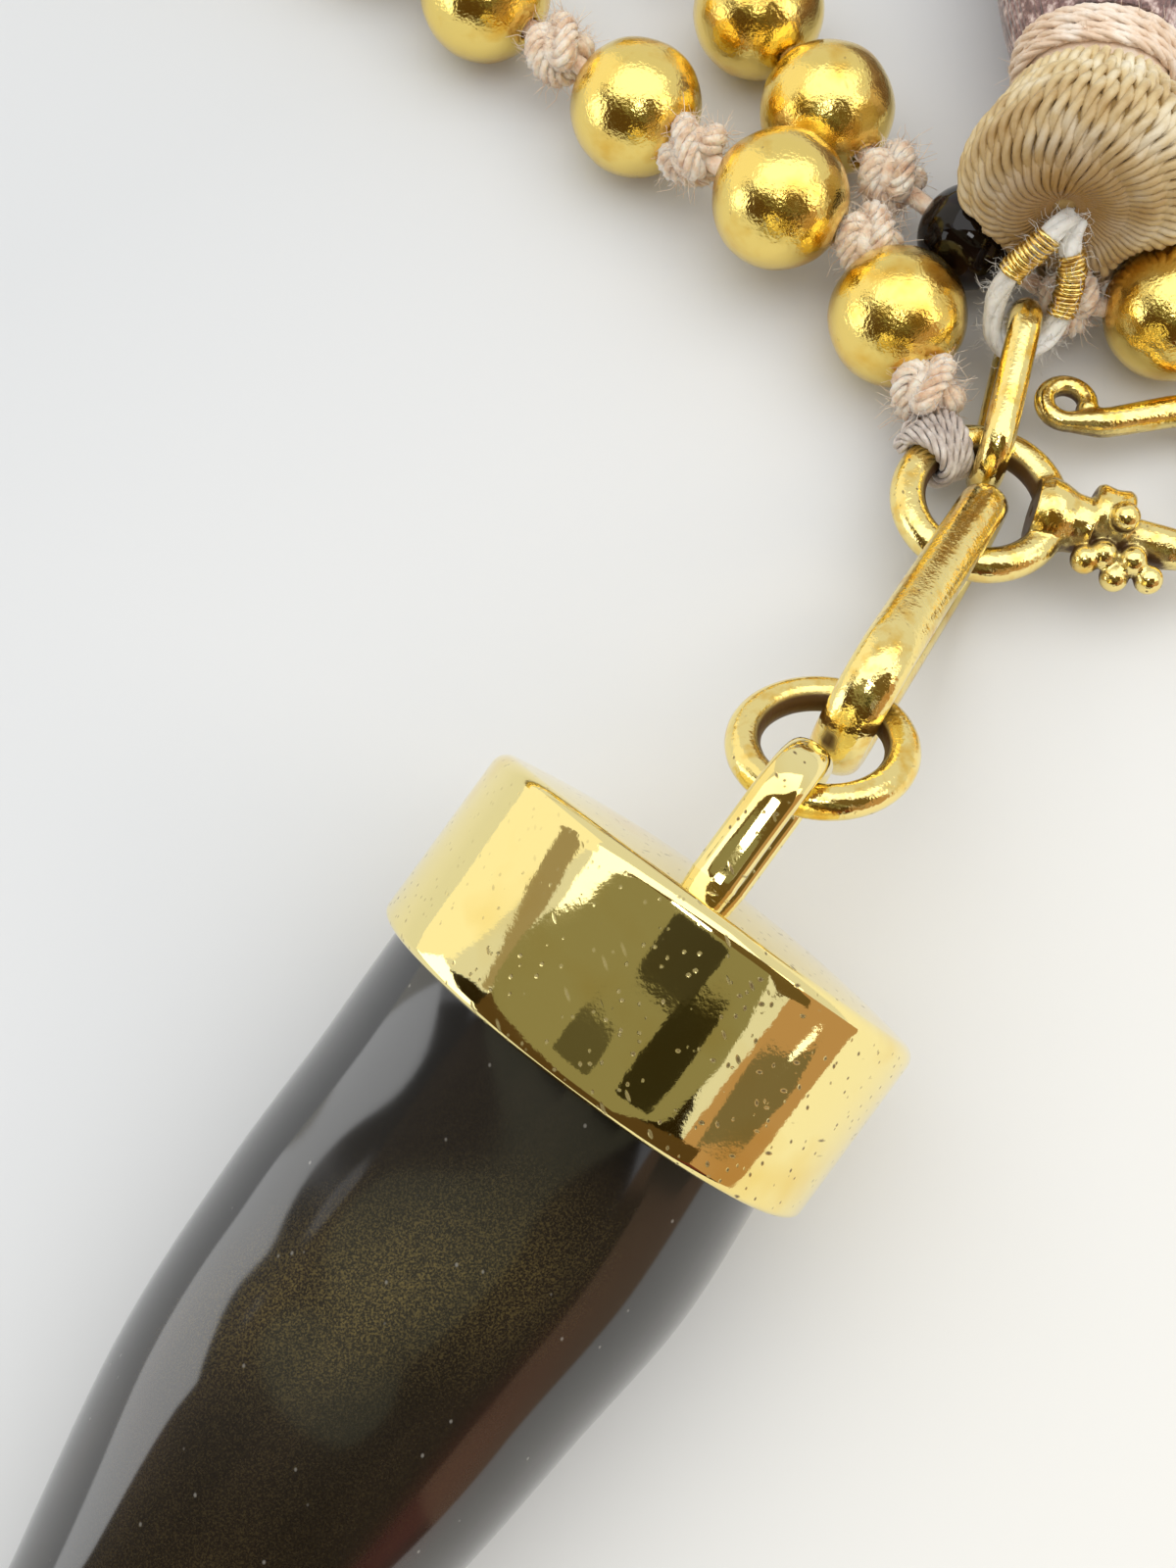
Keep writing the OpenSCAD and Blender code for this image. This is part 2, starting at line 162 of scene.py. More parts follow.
def frames(path: Points) -> tuple[Points, Points]:
    """Side and third vector at each point of a path, turning as little as they can.

    Args:
        path: The path's points.

    Returns:
        The two vectors, each for every point.
    """
    way = unit(np.gradient(path, axis=0))
    side = np.zeros_like(way)
    start = np.cross([0, 0, 1.0], way[0])
    side[0] = unit(start if np.linalg.norm(start) > 0.1 else np.cross([0, 1.0, 0], way[0]))
    for i in range(1, len(path)):
        side[i] = unit(side[i - 1] - way[i] * side[i - 1].dot(way[i]))
    return side, np.cross(way, side)


@dataclass
class Shape:
    """Points in millimetres and the faces between them."""

    verts: Points
    faces: list[tuple[int, ...]]


def joined(shapes: Sequence[Shape]) -> Shape:
    """Puts several shapes into one.

    Args:
        shapes: The shapes.

    Returns:
        One shape with all their points and faces.
    """
    verts, faces, base = [], [], 0
    for shape in shapes:
        verts.append(shape.verts)
        faces += [tuple(base + i for i in face) for face in shape.faces]
        base += len(shape.verts)
    return Shape(np.concatenate(verts), faces)


def skinned(rings: Points, loop: bool = False) -> Shape:
    """Closes a skin over rings of points.

    Args:
        rings: Array of ring, point and coordinate, each ring turning to the left of its way.
        loop: Whether the last ring joins the first.

    Returns:
        The closed shape.
    """
    turns, count = rings.shape[:2]
    nexts = [(k, (k + 1) % count) for k in range(count)]
    faces: list[tuple[int, ...]] = []
    for i in range(turns if loop else turns - 1):
        here, on = i * count, (i + 1) % turns * count
        faces += [(here + k, here + n, on + n, on + k) for k, n in nexts]
    verts = rings.reshape(-1, 3)
    if not loop:
        top, base = len(verts), (turns - 1) * count
        verts = np.concatenate([verts, [rings[0].mean(0), rings[-1].mean(0)]])
        for k, n in nexts:
            faces += [(top, n, k), (top + 1, base + k, base + n)]
    return Shape(verts, faces)


def swept(path: Points, radii: Any, sides: int = 16) -> Shape:
    """Sweeps a round section along a path.

    Args:
        path: The middles.
        radii: One radius, or one for each middle.
        sides: Sides of the section.

    Returns:
        The swept shape, closed at its ends.
    """
    side, third = frames(path)
    r = np.broadcast_to(np.asarray(radii, float), len(path))[:, None, None]
    a = circle(sides)[None, :, None]
    return skinned(path[:, None] + r * (np.cos(a) * side[:, None] + np.sin(a) * third[:, None]))


def lathed(profile: Rows, sides: int) -> Shape:
    """Turns a closed profile of radius and height round the z axis.

    Args:
        profile: Radius and height of each corner.
        sides: Steps round the axis.

    Returns:
        The closed shape.
    """
    r, z = np.asarray(profile, float).T
    a = circle(sides)
    rings = [np.outer(np.cos(a), r), np.outer(np.sin(a), r), np.tile(z, (sides, 1))]
    return skinned(np.stack(rings, axis=-1), loop=True)


def ball(middle: Points, r: float, rings: int = 10, sides: int = 16) -> Shape:
    """A round ball, a little flat at its poles.

    Args:
        middle: Its middle.
        r: Its radius.
        rings: Rings from pole to pole.
        sides: Points of a ring.

    Returns:
        The closed shape.
    """
    t = np.linspace(0.12, math.pi - 0.12, rings)[:, None]
    a = circle(sides)[None]
    p = np.stack([np.sin(t) * np.cos(a), np.sin(t) * np.sin(a), -np.cos(t) + 0 * a], axis=-1)
    return skinned(np.asarray(middle) + r * p)


def ring(r: float, wire: float) -> Shape:
    """A wire ring in the x and y plane."""
    return lathed([[r + wire / 2 * math.cos(b), wire / 2 * math.sin(b)] for b in circle(20)], 96)


def set_at(at: Any, *turns: tuple[str, float]) -> Matrix:
    """Matrix of a place and of turns there, in degrees.

    Args:
        at: The place.
        *turns: Axis and angle of each turn, the last one made first.

    Returns:
        The matrix.
    """
    matrix = Matrix.Translation(Vector(at))
    for axis, degrees in turns:
        matrix = matrix @ Matrix.Rotation(math.radians(degrees), 4, axis)
    return matrix


def along_way(at: Any, way: Points) -> Matrix:
    """Matrix that sets a shape's x axis along a way, its z axis upward, at a place.

    Args:
        at: The place.
        way: The way.

    Returns:
        The matrix.
    """
    heading = math.atan2(way[1], way[0])
    dip = math.atan2(-way[2], math.hypot(way[0], way[1]))
    turn = Matrix.Rotation(heading, 4, "Z") @ Matrix.Rotation(dip, 4, "Y")
    return Matrix.Translation(Vector(at)) @ turn


def turned(shape: Shape, matrix: Matrix) -> Shape:
    """Returns the shape moved by a matrix."""
    m = np.array(matrix)
    return Shape(shape.verts @ m[:3, :3].T + m[:3, 3], shape.faces)


def placed(name: str, data: Any) -> Thing:
    """Sets a mesh, a light or a camera in the scene as an object.

    Args:
        name: The object's name.
        data: The mesh, light or camera.

    Returns:
        The object.
    """
    obj = bpy.data.objects.new(name, data)
    bpy.context.scene.collection.objects.link(obj)
    return obj


def draft(name: str, shape: Shape, edges: Sequence[tuple[int, int]] = ()) -> Thing:
    """Makes a working object, still in millimetres.

    Args:
        name: The object's name.
        shape: Its points and faces.
        edges: Edges that belong to no face.

    Returns:
        The object.
    """
    mesh = bpy.data.meshes.new(name)
    mesh.from_pydata([tuple(v) for v in shape.verts], list(edges), shape.faces)
    return placed(name, mesh)


def store(mesh: Mesh, name: str, values: Any) -> None:
    """Stores a number or a vector at each point of a mesh.

    Args:
        mesh: The mesh.
        name: The attribute's name.
        values: One number or vector for each point.
    """
    values = np.asarray(values)
    kind, key = ("FLOAT_VECTOR", "vector") if values.ndim > 1 else ("FLOAT", "value")
    mesh.attributes.new(name, kind, "POINT").data.foreach_set(key, values.ravel())


def outward(mesh: Mesh) -> None:
    """Turns every face of a closed mesh outward.

    Args:
        mesh: The mesh, in which the turn is made.
    """
    bm = bmesh.new()
    bm.from_mesh(mesh)
    bmesh.ops.recalc_face_normals(bm, faces=bm.faces)
    bm.to_mesh(mesh)
    bm.free()


def evaluated(obj: Thing) -> Mesh:
    """Turns a working object with its modifiers into a plain mesh and removes it.

    Args:
        obj: The working object.

    Returns:
        The plain mesh.
    """
    graph = bpy.context.evaluated_depsgraph_get()
    mesh = bpy.data.meshes.new_from_object(obj.evaluated_get(graph))
    old = obj.data
    obj.modifiers.clear()
    bpy.data.objects.remove(obj)
    bpy.data.meshes.remove(old)
    return mesh


def solid(shape: Shape) -> Mesh:
    """Turns a shape into a plain mesh."""
    return evaluated(draft("solid", shape))


def melded(meshes: Sequence[Mesh]) -> Mesh:
    """Puts finished meshes of one material into one mesh and removes them.

    Args:
        meshes: The meshes, which are used up.

    Returns:
        The one mesh.
    """
    bm = bmesh.new()
    for mesh in meshes:
        bm.from_mesh(mesh)
    made = bpy.data.meshes.new("melded")
    bm.to_mesh(made)
    bm.free()
    for mesh in meshes:
        bpy.data.meshes.remove(mesh)
    return made


def piece(name: str, mesh: Mesh, finish: "Finish", slot: str,
          replaces: Sequence[str] = (), recalc: bool = True) -> None:
    """Finishes a mesh as a piece of the necklace, its object at the origin and in metres.

    Args:
        name: The piece's name.
        mesh: Its mesh in millimetres round the clasp's ring.
        finish: Its finish, for meshes that carry no material.
        slot: The record's material slot.
        replaces: CAD nodes that it stands for.
        recalc: Whether its faces are turned outward.
    """
    mesh.name = name
    mesh.transform(Matrix.Scale(MM, 4) @ Matrix.Translation(Vector(FRAME_SHIFT)))
    if recalc:
        outward(mesh)
    mesh.polygons.foreach_set("use_smooth", [True] * len(mesh.polygons))
    if not [m for m in mesh.materials if m]:
        mesh.materials.clear()
        mesh.materials.append(finish.built())
    obj = placed(name, mesh)
    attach(obj, BODY)
    if replaces:
        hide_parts(*replaces)
    triangles = sum(len(p.vertices) - 2 for p in mesh.polygons)
    LOG.info("%s: %d triangles, slot %s", name, triangles, slot)


# Geometry Nodes trees


def new_tree(name: str, inputs: dict[str, str]) -> tuple[Any, Adder, Any]:
    """Starts a Geometry Nodes tree.

    Args:
        name: The tree's name.
        inputs: Socket type of each named input between the geometry and the material.

    Returns:
        The tree, the function that adds its nodes, and its inputs.
    """
    tree = bpy.data.node_groups.new(name, "GeometryNodeTree")
    for label, kind in {"Geometry": "Geometry", **inputs, "Material": "Material"}.items():
        tree.interface.new_socket(label, in_out="INPUT", socket_type="NodeSocket" + kind)
    tree.interface.new_socket("Geometry", in_out="OUTPUT", socket_type="NodeSocketGeometry")
    add = partial(add_node, tree)
    return tree, add, add("NodeGroupInput").outputs


def close_tree(add: Adder, given: Any, geometry: Any) -> None:
    """Ends a tree with Realize Instances and Set Material.

    Args:
        add: The function that adds the tree's nodes.
        given: The tree's inputs.
        geometry: What the tree has made.
    """
    real = add("GeometryNodeRealizeInstances", {"Geometry": geometry})
    dressed = add("GeometryNodeSetMaterial", {"Geometry": real, "Material": given["Material"]})
    add("NodeGroupOutput", {0: dressed})


def grown(obj: Thing, tree_maker: Callable[[], Any], values: dict[str, Any],
          finish: "Finish") -> Mesh:
    """Runs a Geometry Nodes tree on a working object.

    Args:
        obj: The working object, which is used up.
        tree_maker: The function that makes the tree of its own name, once.
        values: Value of each named input.
        finish: The finish of what grows.

    Returns:
        The plain mesh.
    """
    tree = bpy.data.node_groups.get(tree_maker.__name__) or tree_maker()
    modifier = obj.modifiers.new(tree.name, "NODES")
    modifier.node_group = tree
    sockets = {s.name: s.identifier for s in tree.interface.items_tree if s.in_out == "INPUT"}
    for label, value in {**values, "Material": finish.built()}.items():
        modifier[sockets[label]] = value
    return evaluated(obj)


def strung_along_thread() -> Any:
    """Tree that sets a template on points along their ways and dents it softly.

    Returns:
        The tree.
    """
    tree, add, given = new_tree(
        "strung_along_thread", {"Template": "Object", "Dent": "Float", "Dent Scale": "Float"})
    way = add("GeometryNodeInputNamedAttribute", {"Name": "way"}, data_type="FLOAT_VECTOR")
    spin = add("GeometryNodeInputNamedAttribute", {"Name": "spin"}, data_type="FLOAT")
    aligned = add("FunctionNodeAlignRotationToVector", {"Vector": way}, axis="Z")
    about = add("FunctionNodeAxisAngleToRotation", {"Axis": (0, 0, 1), "Angle": spin})
    turn = add("FunctionNodeRotateRotation", {"Rotation": aligned, "Rotate By": about},
               rotation_space="LOCAL")
    template = add("GeometryNodeObjectInfo", {"Object": given["Template"]}).outputs["Geometry"]
    points = add("GeometryNodeMeshToPoints", {"Mesh": given["Geometry"]})
    strung = add("GeometryNodeInstanceOnPoints",
                 {"Points": points, "Instance": template, "Rotation": turn})
    real = add("GeometryNodeRealizeInstances", {"Geometry": strung})
    noise = add("ShaderNodeTexNoise", {"Vector": add("GeometryNodeInputPosition"),
                                       "Scale": given["Dent Scale"], "Detail": 1.0})
    centred = add("ShaderNodeMath", {0: noise, 1: 0.5}, operation="SUBTRACT")
    depth = add("ShaderNodeMath", {0: centred, 1: given["Dent"]}, operation="MULTIPLY")
    offset = add("ShaderNodeVectorMath", {0: add("GeometryNodeInputNormal"), "Scale": depth},
                 operation="SCALE")
    close_tree(add, given, add("GeometryNodeSetPosition", {"Geometry": real, "Offset": offset}))
    return tree


def twisted_plies() -> Any:
    """Tree that lays twisted plies along the edges of a mesh.

    Returns:
        The tree.
    """
    tree, add, given = new_tree("twisted_plies", {
        "Plies": "Int", "Ply Radius": "Float", "Ply Offset": "Float", "Lay Length": "Float",
        "Sides": "Int"})
    curve = add("GeometryNodeMeshToCurve", {"Mesh": given["Geometry"]})
    along = add("GeometryNodeSplineParameter").outputs["Length"]
    turns = add("ShaderNodeMath", {0: along, 1: given["Lay Length"]}, operation="DIVIDE")
    angle = add("ShaderNodeMath", {0: turns, 1: math.tau}, operation="MULTIPLY")
    tilted = add("GeometryNodeSetCurveTilt", {"Curve": curve, "Tilt": angle})
    # The plies' middles lie evenly round the line
    step = add("ShaderNodeMath", {0: math.tau, 1: given["Plies"]}, operation="DIVIDE")
    place = add("ShaderNodeMath", {0: add("GeometryNodeInputIndex"), 1: step},
                operation="MULTIPLY")
    turn = add("ShaderNodeVectorRotate", {"Vector": (1.0, 0.0, 0.0), "Angle": place},
               rotation_type="Z_AXIS")
    out = add("ShaderNodeVectorMath", {0: turn, "Scale": given["Ply Offset"]}, operation="SCALE")
    spots = add("GeometryNodePoints", {"Count": given["Plies"], "Position": out})
    section = add("GeometryNodeCurvePrimitiveCircle",
                  {"Resolution": given["Sides"], "Radius": given["Ply Radius"]}, mode="RADIUS")
    sections = add("GeometryNodeInstanceOnPoints", {"Points": spots, "Instance": section})
    profile = add("GeometryNodeRealizeInstances", {"Geometry": sections})
    # Where a mesh stores it, its slim attribute thins the cord
    slim = add("GeometryNodeInputNamedAttribute", {"Name": "slim"}, data_type="FLOAT")
    size = add("ShaderNodeMath", {0: 1.0, 1: slim}, operation="SUBTRACT")
    close_tree(add, given, add("GeometryNodeCurveToMesh", {
        "Curve": tilted, "Profile Curve": profile, "Fill Caps": True, "Scale": size}))
    return tree


def cotton_fuzz() -> Any:
    """Tree that scatters a hair over a surface, leaning every way.

    Returns:
        The tree.
    """
    tree, add, given = new_tree(
        "cotton_fuzz", {"Hair": "Object", "Density": "Float", "Seed": "Int"})
    spread = add("GeometryNodeDistributePointsOnFaces", {
        "Mesh": given["Geometry"], "Density": given["Density"], "Seed": given["Seed"]})
    hair = add("GeometryNodeObjectInfo", {"Object": given["Hair"]}).outputs["Geometry"]
    lean = add("FunctionNodeRandomValue", {0: (-1.1, -1.1, 0), 1: (1.1, 1.1, math.tau), "Seed": 5},
               data_type="FLOAT_VECTOR")
    leaned = add("FunctionNodeRotateRotation",
                 {"Rotation": spread.outputs["Rotation"], "Rotate By": lean},
                 rotation_space="LOCAL")
    size = add("FunctionNodeRandomValue", {2: 0.35, 3: 1.3, "Seed": 9}, data_type="FLOAT")
    close_tree(add, given, add("GeometryNodeInstanceOnPoints", {
        "Points": spread, "Instance": hair, "Rotation": leaned, "Scale": size}))
    return tree


@dataclass(frozen=True)
class Cord:
    """A plied cord, its sizes in millimetres."""

    plies: int
    radius: float
    offset: float
    lay: float
    sides: int

    def along(self, lines: Sequence[Points], finish: "Finish", loop: bool = False,
              **stored: Sequence[Points]) -> Mesh:
        """Lays the cord along lines.

        Args:
            lines: The lines' points.
            finish: The cord's finish.
            loop: Whether each line's end joins its start.
            **stored: Attributes, with the values at each line's points.

        Returns:
            The plain mesh.
        """
        edges, base = [], 0
        for line in lines:
            count = len(line)
            edges += [(base + i, base + (i + 1) % count) for i in range(count - (not loop))]
            base += count
        obj = draft("lines", Shape(np.concatenate(lines), []), edges)
        for name, values in stored.items():
            store(obj.data, name, np.concatenate(values))
        return grown(obj, twisted_plies, {
            "Plies": self.plies, "Ply Radius": self.radius, "Ply Offset": self.offset,
            "Lay Length": self.lay, "Sides": self.sides}, finish)


@dataclass(frozen=True)
class Fuzz:
    """Loose hairs: the path and radii of one in millimetres, and the seed that spreads them."""

    path: tuple
    radii: tuple
    seed: int

    def over(self, mesh: Mesh, density: float, finish: "Finish") -> Mesh:
        """Grows hairs on a mesh.

        Args:
            mesh: The mesh, which stays as it is.
            density: Hairs to a square millimetre.
            finish: The hairs' finish.

        Returns:
            The hairs' mesh.
        """
        hair = draft("hair", swept(np.array(self.path, float), self.radii, 3))
        values = {"Hair": hair, "Density": density, "Seed": self.seed}
        made = grown(placed("copy", mesh.copy()), cotton_fuzz, values, finish)
        bpy.data.objects.remove(hair)
        return made


# Finishes


def new_material(name: str) -> tuple[Material, Adder]:
    """Starts a material.

    Args:
        name: What the real material is and how it was made.

    Returns:
        The material and the function that adds its nodes.
    """
    material = bpy.data.materials.new(name)
    material.use_nodes = True
    material.node_tree.nodes.clear()
    return material, partial(add_node, material.node_tree)


def surfaced(add: Adder, inputs: dict[str, Any]) -> None:
    """Ends a material with a Principled shader of the given values and links."""
    add("ShaderNodeOutputMaterial", {"Surface": add("ShaderNodeBsdfPrincipled", inputs)})


def ramp(add: Adder, value: Any, stops: Iterable[tuple[float, str]]) -> Node:
    """Colours a value by stops.

    Args:
        add: The function that adds the material's nodes.
        value: What is coloured.
        stops: Place and sRGB hex colour of each stop, in order.

    Returns:
        The node that gives the colour.
    """
    made = add("ShaderNodeValToRGB", {"Fac": value})
    elements = made.color_ramp.elements
    for i, (place, colour) in enumerate(stops):
        stop = elements[i] if i < 2 else elements.new(place)
        stop.position = place
        stop.color = linear(colour)
    return made


def marks(add: Adder, place: Any, gap_mm: float, stretch: float,
          turn: tuple[float, float, float], share: float) -> Node:
    """Draws small separate marks, such as pits or short scratches.

    Args:
        add: The function that adds the material's nodes.
        place: Coordinates in metres.
        gap_mm: Distance between the places where a mark can be.
        stretch: How many times longer than wide a mark is.
        turn: Turn of the marks' long side.
        share: Share of the places that have a mark.

    Returns:
        A node that gives one inside a mark.
    """
    laid = add("ShaderNodeMapping", {"Vector": place, "Rotation": turn, "Scale": (1, stretch, 1)},
               vector_type="TEXTURE")
    cells = add("ShaderNodeTexVoronoi",
                {"Vector": laid, "Scale": 1 / (gap_mm * MM), "Randomness": 1.0})
    core = add("ShaderNodeMapRange", {
        "Value": cells.outputs["Distance"], "From Min": 0.07, "From Max": 0.16, "To Min": 1.0,
        "To Max": 0.0})
    lot = add("ShaderNodeSeparateColor", {"Color": cells.outputs["Color"]})
    chosen = add("ShaderNodeMath", {0: lot, 1: share}, operation="LESS_THAN")
    return add("ShaderNodeMath", {0: core, 1: chosen}, operation="MULTIPLY")


@dataclass(frozen=True)
class PolishedGold:
    """Gold that was polished by hand: soft waves, pits and short scratches."""

    name: str
    colour: str = "#FBE7A0"
    shade: str = "#EFC968"
    # Colour of dirt in the marks and of painted shade in hollows
    dirt: str = "#553A18"
    roughness: float = 0.13
    grain: float = 0.02
    facets: float = 0.0
    wave_mm: float = 2.2
    wave_depth: float = 0.05
    pit_mm: float = 0.5
    pit_share: float = 0.5
    worn: float = 0.45
    shade_and_tarnish: bool = False

    def wear(self, add: Adder, place: Any) -> Node:
        """Pits, and scratches about 0.5 mm long that lie two ways, in patches.

        Args:
            add: The function that adds the material's nodes.
            place: Object coordinates, in metres.

        Returns:
            A node that gives one inside a mark.
        """
        where = add("ShaderNodeTexNoise",
                    {"Vector": place, "Scale": 0.3 / (self.wave_mm * MM), "Detail": 2.0})
        allowed = add("ShaderNodeMapRange", {
            "Value": where, "From Min": 0.62 - 0.3 * self.worn, "From Max": 0.78 - 0.3 * self.worn})
        pits, scratches, crossing = (
            marks(add, place, self.pit_mm * gap, stretch, turn, self.pit_share)
            for gap, stretch, turn in ((1, 1.4, (0.4, 0.2, 0.0)), (1.1, 4.5, (0.3, 0.9, 0.6)),
                                       (1.2, 5.0, (1.1, 0.3, 2.4))))
        both = add("ShaderNodeMath", {0: pits, 1: scratches}, operation="MAXIMUM")
        every = add("ShaderNodeMath", {0: both, 1: crossing}, operation="MAXIMUM")
        return add("ShaderNodeMath", {0: every, 1: allowed}, operation="MULTIPLY")

    def tarnish(self, add: Adder, place: Any) -> Node:
        """Painted shade and tarnish where a cloth can't reach and under the wire, with a ragged
        edge.

        Args:
            add: The function that adds the material's nodes.
            place: Object coordinates, in metres.

        Returns:
            A node that gives how much painted shade and tarnish there is.
        """
        deep = add("ShaderNodeAttribute", attribute_name="shade_and_tarnish").outputs["Fac"]
        ragged = add("ShaderNodeTexNoise", {
            "Vector": place, "Scale": 1 / (0.35 * MM), "Detail": 3.0, "Roughness": 0.7})
        left = add("ShaderNodeMath", {0: ragged, 1: 1.1, 2: -0.55}, operation="MULTIPLY_ADD")
        ragged_shade_and_tarnish = add("ShaderNodeMath", {0: deep, 1: 1.35, 2: left}, operation="MULTIPLY_ADD",
                      use_clamp=True)
        return add("ShaderNodeMath", {0: ragged_shade_and_tarnish, 1: deep}, operation="MULTIPLY")

    def made(self) -> Material:
        """Builds the material.

        Returns:
            The material.
        """
        material, add = new_material(self.name)
        place = add("ShaderNodeTexCoord").outputs["Object"]
        # Uneven polish: cloudy patches a few millimetres wide
        cloud = add("ShaderNodeTexNoise", {
            "Vector": place, "Scale": 1 / (self.wave_mm * MM), "Detail": 3.0, "Roughness": 0.55})
        colour = ramp(add, cloud, [(0.28, self.shade), (0.5, self.colour)])
        worn = self.wear(add, place)
        dark = add("ShaderNodeMath", {0: worn, 1: 0.9}, operation="MULTIPLY")
        # Painted shade in hollows and under the wire, with tarnish, darkens it too
        if self.shade_and_tarnish:
            dark = add("ShaderNodeMath", {0: dark, 1: self.tarnish(add, place)},
                       operation="MAXIMUM")
        mixed = add("ShaderNodeMix", {"Factor": dark, "A": colour, "B": linear(self.dirt)},
                    data_type="RGBA")
        rough = add("ShaderNodeMapRange", {
            "Value": cloud, "From Min": 0.3, "From Max": 0.7, "To Min": self.roughness * 1.4,
            "To Max": self.roughness * 0.75})
        dull = add("ShaderNodeMath", {0: dark, 1: 0.3, 2: rough}, operation="MULTIPLY_ADD")
        # Tarnish, dirt in the marks and painted shade are dull, not metal
        bare = add("ShaderNodeMath", {0: dark, 1: -0.75, 2: 1.0}, operation="MULTIPLY_ADD")
        # Planished facets about half a millimetre wide
        facet = add("ShaderNodeTexNoise",
                    {"Vector": place, "Scale": 1 / (0.6 * MM), "Detail": 1.0})
        # Polishing lines finer than a tenth of a millimetre, drawn coarser as grain
        fine = add("ShaderNodeTexNoise",
                   {"Vector": place, "Scale": 1 / (0.16 * MM), "Detail": 2.0})
        under: dict[str, Any] = {}
        for height, depth_mm, cut in ((cloud, self.wave_depth, False), (facet, self.facets, False),
                                      (fine, self.grain, False), (worn, 0.02, True)):
            bump = add("ShaderNodeBump", {"Height": height, "Strength": GOLD_BUMP,
                                          "Distance": depth_mm * MM, **under}, invert=cut)
            under = {"Normal": bump}
        surfaced(add, {"Base Color": mixed, "Roughness": dull, "Metallic": bare, **under})
        return material


@dataclass(frozen=True)
class SpunThread:
    """Cotton or silk thread: fibres a few hundredths of a millimetre thick, drawn coarser."""

    name: str
    colours: tuple[str, str, str]
    roughness: float = 0.75
    sheen: float = 0.4
    fibre_mm: float = 0.16
    patch_mm: float = 1.4
    depth_mm: float = 0.03
    glow: float = 0.0
    # Colour of painted shade and stain where the cords draw in
    stain: str = ""

    def made(self) -> Material:
        """Builds the material.

        Returns:
            The material.
        """
        material, add = new_material(self.name)
        place = add("ShaderNodeTexCoord").outputs["Object"]
        patch = add("ShaderNodeTexNoise", {
            "Vector": place, "Scale": 1 / (self.patch_mm * MM), "Detail": 3.0, "Roughness": 0.6})
        colour = ramp(add, patch, zip((0.3, 0.5, 0.68), self.colours))
        fibre = add("ShaderNodeTexNoise",
                    {"Vector": place, "Scale": 1 / (self.fibre_mm * MM), "Detail": 2.0})
        if self.stain:
            # Painted shade, with some handling stain, darkens the cords where they draw in
            held = add("ShaderNodeAttribute", attribute_name="held").outputs["Fac"]
            colour = add("ShaderNodeMix", {"Factor": held, "A": colour, "B": linear(self.stain)},
                         data_type="RGBA")
        bump = add("ShaderNodeBump",
                   {"Height": fibre, "Strength": 0.6, "Distance": self.depth_mm * MM})
        surfaced(add, {
            "Base Color": colour, "Roughness": self.roughness, "Sheen Weight": self.sheen,
            "Sheen Roughness": 0.45, "Subsurface Weight": self.glow,
            "Subsurface Radius": (0.6 * MM, 0.35 * MM, 0.25 * MM), "Subsurface Scale": 1.0,
            "Normal": bump})
        return material


